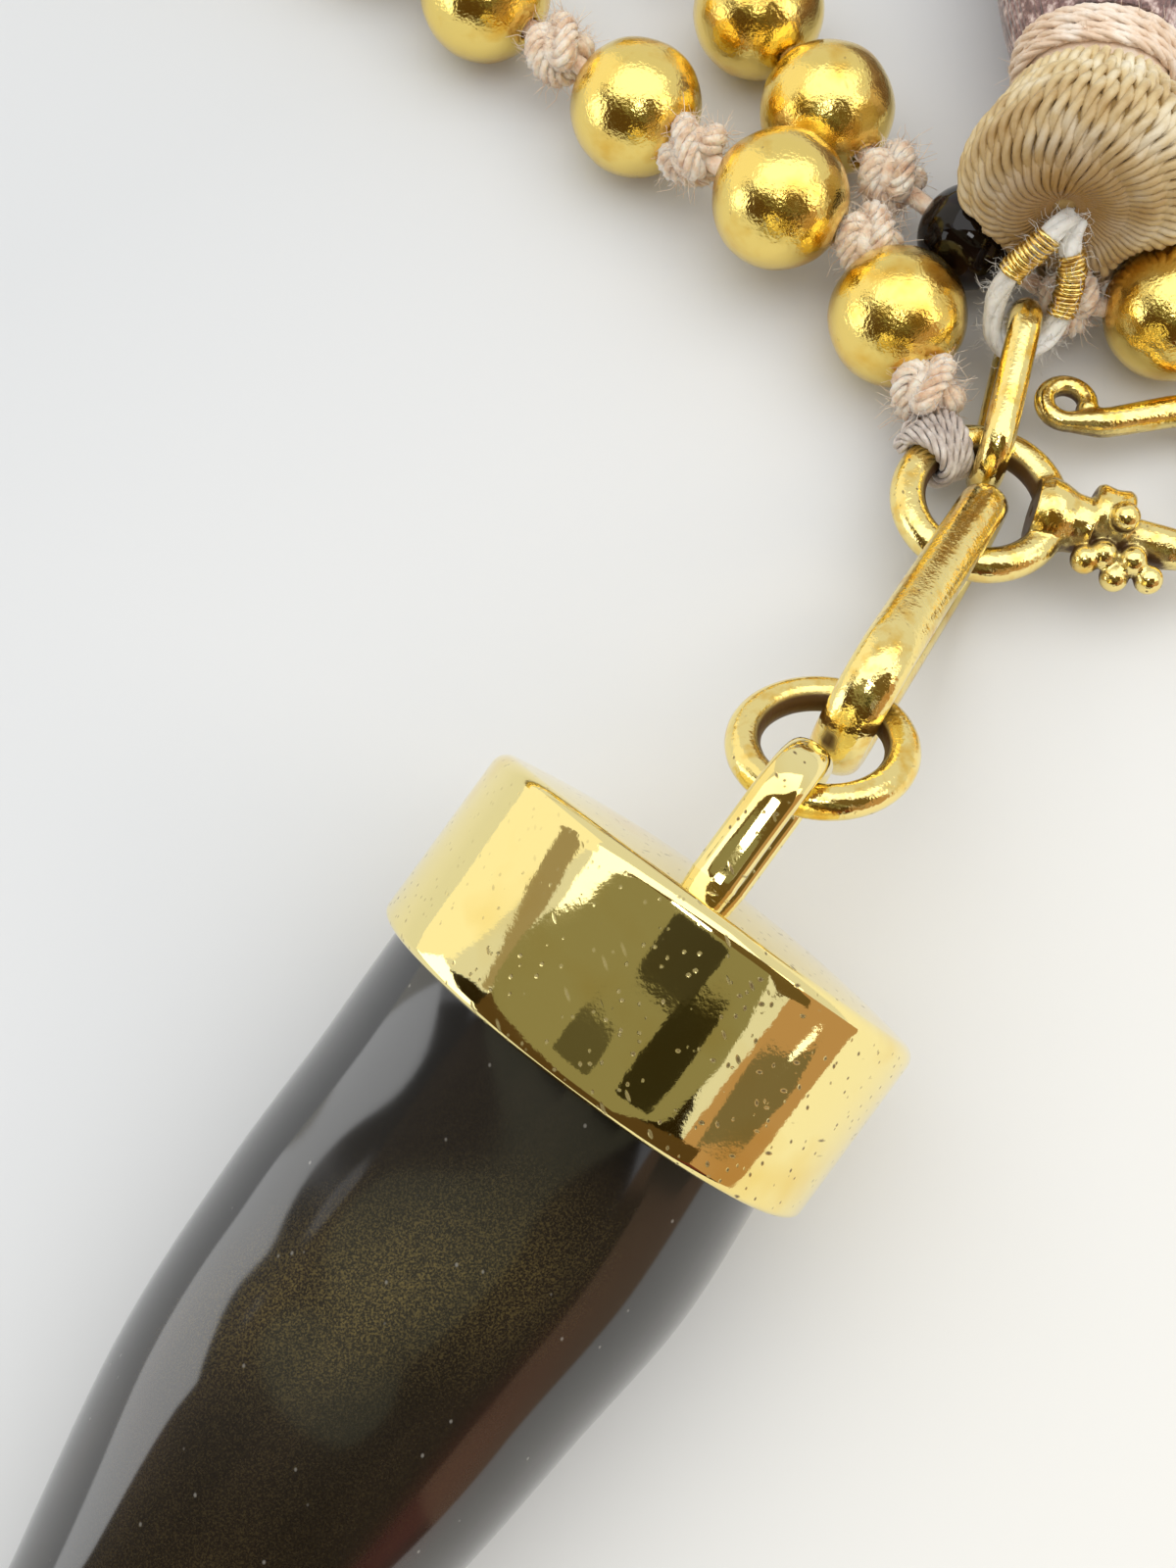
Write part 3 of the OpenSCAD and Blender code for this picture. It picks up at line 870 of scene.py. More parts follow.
@dataclass(frozen=True)
class PolishedHorn:
    """Near black horn under a polish, with golden flecks that lie inside it and a painted golden
    sheen.
    """

    name: str = "polished_dark_horn"
    way: float = math.radians(52.3)

    def patch(self, add: Adder, place: Any, middle: tuple, size: tuple,
              turn: float) -> Node:
        """Soft patch on the tusk.

        Args:
            add: The function that adds the material's nodes.
            place: Coordinates along and across the tusk, in metres.
            middle: Its middle along and across the tusk, in millimetres.
            size: Its half length and half width in millimetres.
            turn: Its turn in radians.

        Returns:
            A node that falls from one at its middle to nothing at its edge.
        """
        laid = add("ShaderNodeMapping", {
            "Vector": place, "Location": (middle[0] * MM, middle[1] * MM, 0),
            "Rotation": (0, 0, turn), "Scale": (size[0] * MM, size[1] * MM, 1.0)},
            vector_type="TEXTURE")
        flat = add("ShaderNodeVectorMath", {0: laid, 1: (1, 1, 0)}, operation="MULTIPLY")
        far = add("ShaderNodeVectorMath", {0: flat}, operation="LENGTH")
        return add("ShaderNodeMapRange", {
            "Value": far, "From Min": 0.0, "From Max": 1.0, "To Min": 1.0, "To Max": 0.0},
            interpolation_type="SMOOTHSTEP")

    def made(self) -> Material:
        """Builds the material.

        Returns:
            The material.
        """
        material, add = new_material(self.name)
        place = add("ShaderNodeTexCoord").outputs["Object"]
        laid = add("ShaderNodeMapping", {"Vector": place, "Rotation": (0, 0, self.way)},
                   vector_type="TEXTURE")
        long = add("ShaderNodeMapping", {"Vector": laid, "Scale": (0.14, 1.0, 1.0)})
        streak = add("ShaderNodeTexNoise", {
            "Vector": long, "Scale": 1 / (2.6 * MM), "Detail": 3.0, "Roughness": 0.5})
        ground = ramp(add, streak, [
            (0.3, "#070504"), (0.5, "#0D0906"), (0.66, "#17100A"), (0.78, "#22150D")])
        # Flecks a few hundredths of a millimetre wide, made thick in two drifting bands of painted
        # sheen
        fleck = add("ShaderNodeTexNoise", {
            "Vector": place, "Scale": 1 / (0.07 * MM), "Detail": 1.0, "Roughness": 0.6})
        band = self.patch(add, laid, (-95.6, -126.2), (9.5, 4.2), -0.69)
        faint_sheen = self.patch(add, laid, (-105.0, -126.0), (26.0, 9.0), 0.0)
        drift = add("ShaderNodeMath", {0: faint_sheen, 1: 0.25, 2: band}, operation="MULTIPLY_ADD")
        sheen_share = add("ShaderNodeMath", {0: drift, 1: streak}, operation="MULTIPLY")
        speck = add("ShaderNodeMapRange", {
            "Value": fleck, "From Min": 0.42, "From Max": 0.72, "To Min": 0.04, "To Max": 0.55})
        gold = add("ShaderNodeMath", {0: speck, 1: sheen_share}, operation="MULTIPLY", use_clamp=True)
        # A reddish brown streak where the horn lets light through
        streaked = self.patch(add, laid, (-102.0, -130.8), (15.0, 1.1), -0.04)
        red = add("ShaderNodeMath", {0: streaked, 1: 0.4}, operation="MULTIPLY")
        # Dust specks on the polish
        dust = marks(add, place, 0.42, 1.3, (0.3, 0.1, 0.0), 0.1)
        dusty = add("ShaderNodeMath", {0: dust, 1: 0.3}, operation="MULTIPLY")
        colour = ground
        # The golden flecks, thickest in the bands, carry the painted sheen
        for share, tint in ((gold, "#A38C46"), (red, "#4A2016"), (dusty, "#B9B4AA")):
            colour = add("ShaderNodeMix", {"Factor": share, "A": colour, "B": linear(tint)},
                         data_type="RGBA")
        surfaced(add, {
            "Base Color": colour, "Roughness": 0.5, "Specular IOR Level": 0.15,
            "Coat Weight": 1.0, "Coat Roughness": 0.09, "Coat IOR": 1.72})
        return material


@dataclass(frozen=True)
class PolishedStone:
    """Dark brown stone, cut round and polished to a mirror."""

    name: str = "polished_dark_stone"

    def made(self) -> Material:
        """Builds the material.

        Returns:
            The material.
        """
        material, add = new_material(self.name)
        cloud = add("ShaderNodeTexNoise", {
            "Vector": add("ShaderNodeTexCoord").outputs["Object"], "Scale": 1 / (1.8 * MM),
            "Detail": 3.0})
        colour = ramp(add, cloud, [(0.35, "#080403"), (0.6, "#120906"), (0.75, "#24120B")])
        surfaced(add, {"Base Color": colour, "Roughness": 0.06, "Specular IOR Level": 0.32})
        return material


class Finish(Enum):
    """Every finish of the necklace."""

    # Thin shell gold, burnished: a warm mirror broken by small dents and grain
    BEAD_GOLD = PolishedGold(
        "polished_gold_shell", colour="#F6DA7C", shade="#E7B748", wave_depth=0.1,
        roughness=0.15, grain=0.08, facets=0.04, pit_share=0.3, worn=0.35)
    # Wire filed and polished by hand: planished light, brown tarnish and painted shade in hollows
    # and under the wire
    WIRE_GOLD = PolishedGold(
        "hand_polished_gold_wire", colour="#FBE595", shade="#EFC45C", roughness=0.11,
        grain=0.06, facets=0.05, wave_mm=0.9, wave_depth=0.09, pit_mm=0.4, worn=0.55, shade_and_tarnish=True)
    # A turned cap, buffed: close to a mirror, with pits and scratches from wear
    CAP_GOLD = PolishedGold(
        "polished_gold_cap", colour="#FBEAA2", shade="#F3D67C", roughness=0.045, wave_mm=5.0,
        wave_depth=0.1, pit_mm=0.4, pit_share=0.7, worn=0.8, grain=0.004)
    # Fine drawn wire wound on a thread: softer light, each turn with its own glint
    GIMP_GOLD = PolishedGold(
        "gold_gimp_wire", colour="#F2D888", shade="#C89B4A", roughness=0.25, wave_mm=0.6,
        pit_share=0.1)
    # Horn under a clear polish: black depth, sharp mirror
    HORN = PolishedHorn()
    # Polished stone: nearly black, with a hard small highlight
    STONE = PolishedStone()
    # Spun and plied cotton: matt and soft, light passes its edges
    KNOT_COTTON = SpunThread(
        "plied_peach_cotton", ("#D6AC88", "#F3D8BC", "#FDF1E0"), glow=0.25, sheen=0.9,
        fibre_mm=0.12, depth_mm=0.09, patch_mm=0.7)
    # The same cotton, greyed by handling
    TIE_COTTON = SpunThread(
        "worn_grey_cotton", ("#9C8B80", "#C6B8AC", "#E4DAD0"), glow=0.1, sheen=0.5,
        fibre_mm=0.13, depth_mm=0.04, patch_mm=0.8)
    # Bleached cotton cord: chalky white
    WHITE_COTTON = SpunThread(
        "white_cotton_cord", ("#D6D0C6", "#ECE8E0", "#F8F5EF"), glow=0.2, sheen=0.6)
    # Rayon cord: smooth fibres with a satin shine, with painted shade and some stain where it is
    # held
    HEAD_SATIN = SpunThread(
        "champagne_satin_cord", ("#BC9A60", "#E3CC98", "#FAF0D2"), roughness=0.32, sheen=0.1,
        patch_mm=2.0, fibre_mm=0.09, depth_mm=0.01, stain="#8A6226")
    # The wound core below the cords, coloured as painted shade: matt brown between them
    HEAD_SHADE_CORE = SpunThread(
        "brown_painted_shade_core", ("#84662F", "#A98A52", "#C0A268"), roughness=0.9, sheen=0.0)
    # Mercerised thread: pale with a low shine
    BAND_SATIN = SpunThread(
        "peach_satin_thread", ("#E2C2A2", "#F0D7BC", "#FAECDB"), roughness=0.5, sheen=0.3,
        fibre_mm=0.1, depth_mm=0.015)
    # Silk dyed in short lengths: light and dark specks along each strand
    SKIRT_SILK = SpunThread(
        "speckled_silk_strand", ("#3F2C2A", "#8A6862", "#E3CDC4"), roughness=0.5, patch_mm=0.5)

    def built(self) -> Material:
        """Builds the finish's material once and returns it."""
        found = bpy.data.materials.get(self.value.name)
        return found or self.value.made()


# The strand


class Kind(Enum):
    """What sits at a place on the thread."""

    KNOT = 1
    GOLD = 2
    DARK = 3


# Short names for the strand's rows
K, G, D = Kind.KNOT, Kind.GOLD, Kind.DARK


@dataclass
class Strand:
    """The knotted thread with its beads."""

    left: tuple = (
        (-1.9, 5.2, 3.1, K), (-3.0, 8.9, 3.0, G), (-4.15, 12.55, 3.25, K), (-8.0, 14.0, 4.2, G),
        (-11.7, 17.0, 3.5, K), (-14.2, 19.7, 3.0, G), (-17.7, 22.9, 3.0, K), (-21.1, 26.0, 3.0, G))
    hidden: tuple = (
        (-28, 32, 3), (-55, 51, 3), (-94, 74, 3), (-130, 108, 3), (-155, 155, 3), (-158, 215, 3),
        (-132, 268, 3), (-84, 298, 3), (-30, 294, 3), (12, 262, 3), (32, 212, 3), (26, 158, 3),
        (2, 108, 3), (-15, 68, 3))
    right: tuple = (
        (-17.0, 44.0, 3.0, G), (-14.6, 36.9, 3.0, G), (-12.0, 30.6, 3.0, K), (-8.5, 25.0, 3.0, G),
        (-5.6, 19.6, 3.0, G), (-2.9, 16.0, 3.0, K), (0.5, 13.2, 2.6, D), (4.6, 10.1, 2.4, K),
        (9.0, 9.2, 3.0, G), (12.9, 8.6, 3.0, K), (17.0, 6.9, 3.0, G), (19.3, 3.6, 2.8, K))
    steps: int = 10
    pitch: float = 7.9
    dark_every: int = 12
    gold_d: float = 6.0
    dark_d: float = 4.6
    thread_r: float = 0.42
    knot_r: float = 1.4
    # How far from the clasp the beads and knots are made finer
    near: float = 75.0
    # Reach to both sides over which a bead's bore and a knot take their way
    bore_reach: float = 3.4
    knot_reach: float = 0.5
    # Of each template near the clasp, and along the far loop: a bead's steps round and from
    # rim to rim, a knot's plies, points and sides of a ply, and its hairs to a square millimetre
    bead_detail: tuple = ((56, 36), (24, 14))
    knot_detail: tuple = ((5, 84, 6), (3, 34, 4))
    hair_density: tuple = (3.4, 0.12)
    stone_detail: tuple = (40, 28)
    # Depth of the dents, and how close they are
    bead_dent: tuple = (0.2, 0.45)
    knot_dent: tuple = (0.3, 0.8)
    stone_dent: tuple = (0.02, 0.4)
    fuzz: Fuzz = Fuzz(((0, 0, 0), (0.08, 0.02, 0.45), (0.42, 0.06, 0.85)), (0.017, 0.014, 0.008), 3)
    tie_cord: Cord = Cord(plies=5, radius=0.15, offset=0.24, lay=2.6, sides=5)

    def __post_init__(self) -> None:
        """Lays the path and works out what is strung where."""
        ends = [[p[:3] for p in side] for side in (self.left, self.right)]
        self.path = smooth(ends[0] + list(self.hidden) + ends[1], self.steps)
        s = lengths(self.path)
        start = len(self.left) + len(self.hidden)
        left_s = [s[i * self.steps] for i in range(len(self.left))]
        right_s = [s[(start + i) * self.steps] for i in range(len(self.right))]
        beads = round((right_s[0] - left_s[-1]) / self.pitch) - 1
        step = (right_s[0] - left_s[-1]) / (beads + 1)
        self.strung = list(zip(left_s, [p[3] for p in self.left]))
        for i in range(beads + 1):
            self.strung.append((left_s[-1] + (i + 0.5) * step, K))
            if i < beads:
                kind = D if (i + 1) % self.dark_every == 0 else G
                self.strung.append((left_s[-1] + (i + 1) * step, kind))
        self.strung += list(zip(right_s, [p[3] for p in self.right]))
        self.length = s[-1]

    def way(self, s: float, reach: float) -> Points:
        """Way of the thread over a reach to both sides of a place.

        Args:
            s: Length along the thread.
            reach: How far to each side.

        Returns:
            The way, at length one.
        """
        near = np.clip([s + reach, s - reach], 0.01, self.length - 0.01)
        a, b = at_lengths(self.path, near)
        return unit(a - b)

    def string(self, kind: Kind, start: float, end: float, template: Thing,
               dent: tuple[float, float], finish: Finish) -> Mesh:
        """Strings a template at each place of its kind.

        Args:
            kind: What is strung there.
            start: First length along the thread.
            end: Length along the thread before which they lie.
            template: The bead or knot, its way along z.
            dent: Depth of the dents, and how close they are.
            finish: Their finish.

        Returns:
            The plain mesh.
        """
        places = [s for s, k in self.strung if k is kind and start <= s < end]
        obj = draft("points", Shape(at_lengths(self.path, places), []))
        reach = self.knot_reach if kind is K else self.bore_reach
        store(obj.data, "way", [self.way(s, reach) for s in places])
        spins = np.random.default_rng(kind.value).uniform(0, math.tau, len(places))
        store(obj.data, "spin", spins)
        values = {"Template": template, "Dent": dent[0], "Dent Scale": dent[1]}
        return grown(obj, strung_along_thread, values, finish)

    def bead(self, d: float, sides: int, rows: int) -> Thing:
        """Template of a drilled bead with a rolled rim, its bore along z.

        Args:
            d: The bead's diameter.
            sides: Steps round its bore.
            rows: Rows from rim to rim.

        Returns:
            The template.
        """
        r, bore, rim = d / 2, 0.52, 0.14
        first = math.asin((bore + rim) / r)
        profile = [(r * math.sin(t), r * math.cos(t))
                   for t in np.linspace(first, math.pi - first, rows)]
        top = r * math.cos(first) - 0.1
        profile += [(bore + 0.02, -top), (bore, -top + 0.3), (bore, top - 0.3), (bore + 0.02, top)]
        return draft("bead", lathed(profile, sides))

    def knot(self, plies: int, steps: int, sides: int) -> Thing:
        """Template of an overhand knot of plied thread, its way along z.

        Args:
            plies: Plies of the thread.
            steps: Points along the knot.
            sides: Sides of a ply.

        Returns:
            The template.
        """
        t = circle(steps)
        out = 0.76 + 0.34 * np.cos(3 * t)
        path = np.stack([out * np.cos(2 * t), out * np.sin(2 * t), 0.76 * np.sin(3 * t)], axis=-1)
        ply = 0.56 / (1 + math.sin(math.pi / plies) * 1.25)
        cord = Cord(plies, 0.6 - ply, ply, 2.1, sides)
        tied = cord.along([path], Finish.KNOT_COTTON, loop=True)
        # The thread's own bulk fills the knot
        inside = ball(np.zeros(3), 1.0, 7, 12)
        filling = solid(Shape(inside.verts * np.array([1.2, 1.2, 1.1]), inside.faces))
        return placed("knot", melded([tied, filling]))

    def build_strung(self) -> None:
        """Makes the beads and the knots, finer near the clasp than along the far loop."""
        middle, end = self.length / 2, self.length + 1
        stretches = {
            "left": ((0, self.near, 0), (self.near, middle, 1)),
            "right": ((middle, self.length - self.near, 1), (self.length - self.near, end, 0))}
        shells = [self.bead(self.gold_d, *detail) for detail in self.bead_detail]
        knots = [self.knot(*detail) for detail in self.knot_detail]
        gold, cotton = Finish.BEAD_GOLD, Finish.KNOT_COTTON
        for side, parts in stretches.items():
            beads, tied, hairs = [], [], []
            for start, stop, far in parts:
                beads.append(self.string(G, start, stop, shells[far], self.bead_dent, gold))
                tied.append(self.string(K, start, stop, knots[far], self.knot_dent, cotton))
                hairs.append(self.fuzz.over(tied[-1], self.hair_density[far], cotton))
            piece(f"gold_beads_{side}_shells", melded(beads), gold, "gold_beads",
                  [f"gold_beads_{side}"])
            piece(f"thread_knots_{side}", melded(tied), cotton, "knotted_thread",
                  ["knotted_thread"] if side == "left" else [])
            piece(f"thread_fuzz_{side}", melded(hairs), cotton, "knotted_thread", recalc=False)
        dark = self.bead(self.dark_d, *self.stone_detail)
        mesh = self.string(D, 0, end, dark, self.stone_dent, Finish.STONE)
        piece("dark_stone_beads", mesh, Finish.STONE, "dark_beads", ["dark_beads"])
        for template in (*shells, *knots, dark):
            bpy.data.objects.remove(template)

    def tie(self, place: Matrix, ring_r: float, wire: float, angles: tuple[float, float],
            turns: int, knot: tuple) -> Points:
        """Path of the thread's wraps round a ring and back to its knot.

        Args:
            place: Matrix of the ring's plane.
            ring_r: Radius of the ring's middle line.
            wire: The ring's wire.
            angles: Where on the ring the wraps start and end, in degrees.
            turns: Whole wraps.
            knot: Middle of the knot that they lead to.

        Returns:
            The path's points.
        """
        r, count = wire / 2 + self.thread_r, turns * 20
        points = [knot]
        for share in (i / count for i in range(count + 1)):
            round_ring = math.radians(angles[0] + (angles[1] - angles[0]) * share)
            round_wire = math.tau * turns * share
            out = ring_r + r * math.cos(round_wire)
            points.append(tuple(place @ Vector((
                out * math.cos(round_ring), out * math.sin(round_ring), r * math.sin(round_wire)))))
        return np.array([*points, knot])

    def build(self, clasp: "Clasp") -> None:
        """Makes the beads, the knots with their fuzz, the thread and its two ties.

        Args:
            clasp: The clasp that the thread is tied to.
        """
        self.build_strung()
        line = at_lengths(self.path, np.arange(0, self.length, 1.0))
        piece("thread_core", solid(swept(line, self.thread_r, 8)), Finish.KNOT_COTTON,
              "knotted_thread")
        ties = (self.tie(clasp.plane(), clasp.ring_r, clasp.ring_wire, (136, 102), 4,
                         self.left[0][:3]),
                self.tie(clasp.eye_plane(), clasp.eye_r, clasp.eye_wire, (20, -12), 2,
                         self.right[-1][:3]))
        wraps = [self.tie_cord.along([smooth(path, 3)], Finish.TIE_COTTON) for path in ties]
        piece("thread_ties", melded(wraps), Finish.TIE_COTTON, "knotted_thread")


# Clasp, links and rings


def with_recess(mesh: Mesh, hollows: Sequence[Any]) -> None:
    """Stores how hidden each point of a mesh lies and how far it faces down, for painted shade and
    tarnish there.

    Args:
        mesh: A closed mesh in millimetres.
        hollows: Middle and radius of each eye or ring, which a cloth doesn't reach inside and where
            painted shade is laid.
    """
    points = [v.co.copy() for v in mesh.vertices]
    walls = BVHTree.FromPolygons(points, [tuple(p.vertices) for p in mesh.polygons])
    # A wall up to 5 mm away still hides a point, which then gets painted shade and tarnish
    count, golden_angle, reach = 18, 2.39996, 5.0
    rays = []
    for i in range(count):
        high = math.sqrt(1 - (i + 0.5) / count)
        flat, turn = math.sqrt(1 - high * high), i * golden_angle
        rays.append(Vector((flat * math.cos(turn), flat * math.sin(turn), high)))
    values = []
    for v in mesh.vertices:
        lean = v.normal.to_track_quat("Z", "Y")
        start = v.co + v.normal * 0.03
        hits = sum(walls.ray_cast(start, lean @ ray, reach)[0] is not None for ray in rays)
        # Painted shade on the undersides, which face the table
        under = min(max((0.3 - v.normal.z) / 0.9, 0.0), 1.0)
        value = max((hits / count - 0.05) / 0.4, 0.0) + 0.55 * under
        # Inside an eye or ring the inner faces get painted shade and tarnish
        for middle, radius in hollows:
            inward = Vector(middle) - v.co
            if inward.length < radius:
                value = max(value, (v.normal.dot(inward.normalized()) - 0.3) / 0.4)
        values.append(min(value, 1.0))
    store(mesh, "shade_and_tarnish", values)


def wire_piece(name: str, node: str, shape: Shape, hollows: Sequence[Any]) -> None:
    """Makes a piece of gold wire that stands for a CAD node, with its painted shade and tarnish
    stored.

    Args:
        name: The piece's name.
        node: The CAD node that it replaces.
        shape: Its shape, in millimetres.
        hollows: Middle and radius of each eye or ring.
    """
    mesh = solid(shape)
    outward(mesh)
    with_recess(mesh, hollows)
    piece(name, mesh, Finish.WIRE_GOLD, "gold_wire", [node])


def soldered(shape: Shape, voxel: float) -> Mesh:
    """Melts overlapping closed shapes into one skin, as solder does.

    Args:
        shape: The overlapping shapes, in millimetres.
        voxel: Size of the new skin's faces.

    Returns:
        The fused mesh.
    """
    obj = draft("soldered", shape)
    outward(obj.data)
    melt = obj.modifiers.new("melt", "REMESH")
    melt.mode = "VOXEL"
    melt.voxel_size = voxel
    flow = obj.modifiers.new("flow", "SMOOTH")
    flow.factor = 0.5
    flow.iterations = 4
    return evaluated(obj)


@dataclass
class Clasp:
    """The ring with its granulated collar and hook, and the plain ring."""

    at: tuple = (0.0, 0.0, 2.95)
    tilt: tuple = (-7.0, 3.0)
    ring_r: float = 3.05
    ring_wire: float = 1.5
    stem_at: float = -12.0
    stem_heading: float = -5.0
    stem_wire: float = 1.8
    granule_r: float = 0.62
    granules: tuple = (
        (1.65, -1.65, 0.05), (2.3, -1.3, 0.25), (2.7, 0.0, 1.3), (3.0, -1.95, -0.2),
        (3.5, -1.3, 0.35), (4.35, -1.75, 0.0))
    # The hook from its stem to its curl: a run's length, or a bend's radius and angle,
    # each with the wire that it ends in
    moves: tuple = (
        (4.9, 1.8), (0.9, 1.4), (3.75, 210, 1.4), (2.6, 1.3), (3.0, -13, 1.3), (1.3, 0.9),
        (0.95, -290, 0.9))
    # Saddle that carries the stem on the ring, then a rolled band with a waist
    saddle: tuple = (
        (0.2, -0.9), (1.45, -0.9), (1.62, -0.4), (1.5, 0.2), (1.25, 0.8), (1.2, 1.3), (1.28, 1.6),
        (0.2, 1.6))
    band: tuple = (
        (0.2, 1.42), (1.05, 1.42), (1.33, 1.5), (1.45, 1.72), (1.4, 2.05), (1.36, 2.3),
        (1.4, 2.55), (1.45, 2.82), (1.33, 3.06), (1.05, 3.14), (0.2, 3.14))
    band_shift: float = 0.55
    skin: float = 0.08
    eye_at: tuple = (14.0, 1.5, 2.6)
    eye_r: float = 2.7
    eye_wire: float = 1.2
    eye_lean: float = 45.0

    def plane(self) -> Matrix:
        """Matrix of the clasp's own plane."""
        return set_at(self.at, ("Y", self.tilt[1]), ("X", self.tilt[0]))

    def eye_plane(self) -> Matrix:
        """Matrix of the plain ring's plane."""
        return set_at(self.eye_at, ("X", self.eye_lean))

    def stem(self) -> Matrix:
        """Matrix of the hook's stem in the clasp's plane."""
        start = set_at((0, 0, 0), ("Z", self.stem_at))
        return start @ set_at((self.ring_r, 0, 0), ("Z", self.stem_heading))

    def wire(self) -> tuple[Points, Points]:
        """Middles and radii of the hook's wire, from the stem to the curl.

        Returns:
            The middles, and the radius at each.
        """
        at, heading, r = np.zeros(2), 0.0, self.stem_wire / 2
        path, radii = [at.copy()], [r]
        for first, *bend, wire in self.moves:
            steps = max(6, int(abs(bend[0]) / 6)) if bend else 12
            angle, length = 0.0, first / steps
            if bend:
                angle = math.radians(bend[0]) / steps
                length = 2 * first * math.sin(abs(angle) / 2)
            for i in range(1, steps + 1):
                heading += angle / 2
                at = at + length * np.array([math.cos(heading), math.sin(heading)])
                heading += angle / 2
                path.append(at.copy())
                radii.append(r + (wire / 2 - r) * i / steps)
            r = wire / 2
        flat = np.array(path)
        return np.column_stack([flat, np.zeros(len(flat))]), np.array(radii)

    def build(self) -> None:
        """Makes the soldered clasp and the plain ring."""
        path, radii = self.wire()
        along = Matrix.Rotation(math.pi / 2, 4, "Y")
        shifted = Matrix.Translation((0.0, self.band_shift, 0.0)) @ along
        parts = [swept(path, radii, 20), ball(path[-1], radii[-1] * 1.15),
                 turned(lathed(self.saddle, 48), along), turned(lathed(self.band, 48), shifted)]
        parts += [ball(p, self.granule_r) for p in self.granules]
        hook = turned(joined(parts), self.stem())
        whole = turned(joined([ring(self.ring_r, self.ring_wire), hook]), self.plane())
        # The middle of the curl, which a cloth doesn't reach inside and where painted shade is laid
        curl = self.plane() @ self.stem() @ Vector(path[-24:].mean(0))
        mesh = soldered(whole, self.skin)
        with_recess(mesh, [(self.at, 3.4), (curl, 1.1)])
        piece("clasp_soldered", mesh, Finish.WIRE_GOLD, "gold_wire", ["hook_clasp"], recalc=False)
        wire_piece("plain_ring", "eye_ring", turned(ring(self.eye_r, self.eye_wire),
                                                    self.eye_plane()), [(self.eye_at, 3.0)])


@dataclass
class Links:
    """The upright links and the jump ring."""

    tassel_a: tuple = (0.88, 3.06, 2.55)
    tassel_b: tuple = (2.0, 7.2, 2.75)
    tassel_r: float = 1.7
    tassel_wire: float = 1.4
    bail_a: tuple = (-1.4, -2.9, 3.45)
    bail_b: tuple = (-5.95, -10.55, 8.55)
    bail_r: float = 2.6
    bail_t: float = 1.6
    bail_w: tuple = (2.0, 2.1)
    jump_at: tuple = (-8.0, -13.25, 10.1)
    jump_tilt: float = -28.0
    jump_r: float = 2.85
    jump_wire: float = 1.3

    def upright(self, a: tuple, b: tuple, r: float, w_a: float, w_b: float, t: float) -> Shape:
        """An upright link with a round bend at each of two places.

        Args:
            a: Middle of the first bend.
            b: Middle of the second bend.
            r: Radius of the bends.
            w_a: Width of the wire at the first bend.
            w_b: Width of the wire at the second bend.
            t: Thickness of the wire.

        Returns:
            The closed link.
        """
        way = np.subtract(b, a)
        length = np.linalg.norm(way)
        rows = [(length, 90 - 180 * k / 24, w_b) for k in range(25)]
        rows += [(length * (1 - k / 12), -90, w_b + (w_a - w_b) * k / 12) for k in range(1, 12)]
        rows += [(0.0, -90 - 180 * k / 24, w_a) for k in range(25)]
        rows += [(length * k / 12, 90, w_a + (w_b - w_a) * k / 12) for k in range(1, 12)]
        turn = circle(28)
        rings = []
        for x, angle, w in rows:
            c, s = math.cos(math.radians(angle)), math.sin(math.radians(angle))
            out = r + t / 2 * np.cos(turn)
            rings.append(np.stack([x + out * c, w / 2 * np.sin(turn), out * s], axis=-1))
        return turned(skinned(np.array(rings), loop=True), along_way(a, way))

    def build(self) -> None:
        """Makes the two links and the jump ring."""
        hollows = [(self.tassel_a, 1.9), (self.tassel_b, 1.9), (self.bail_a, 2.9),
                   (self.bail_b, 2.9), (self.jump_at, 3.1)]
        oval = self.upright(self.tassel_a, self.tassel_b, self.tassel_r, self.tassel_wire,
                            self.tassel_wire, self.tassel_wire)
        bail = self.upright(self.bail_a, self.bail_b, self.bail_r, *self.bail_w, self.bail_t)
        tilted = set_at(self.jump_at, ("X", self.jump_tilt))
        jump = turned(ring(self.jump_r, self.jump_wire), tilted)
        wire_piece("tassel_oval_link", "tassel_link", oval, hollows)
        wire_piece("pendant_bail_link", "bail_link", bail, hollows)
        wire_piece("pendant_jump_ring", "jump_ring", jump, hollows)


# Pendant


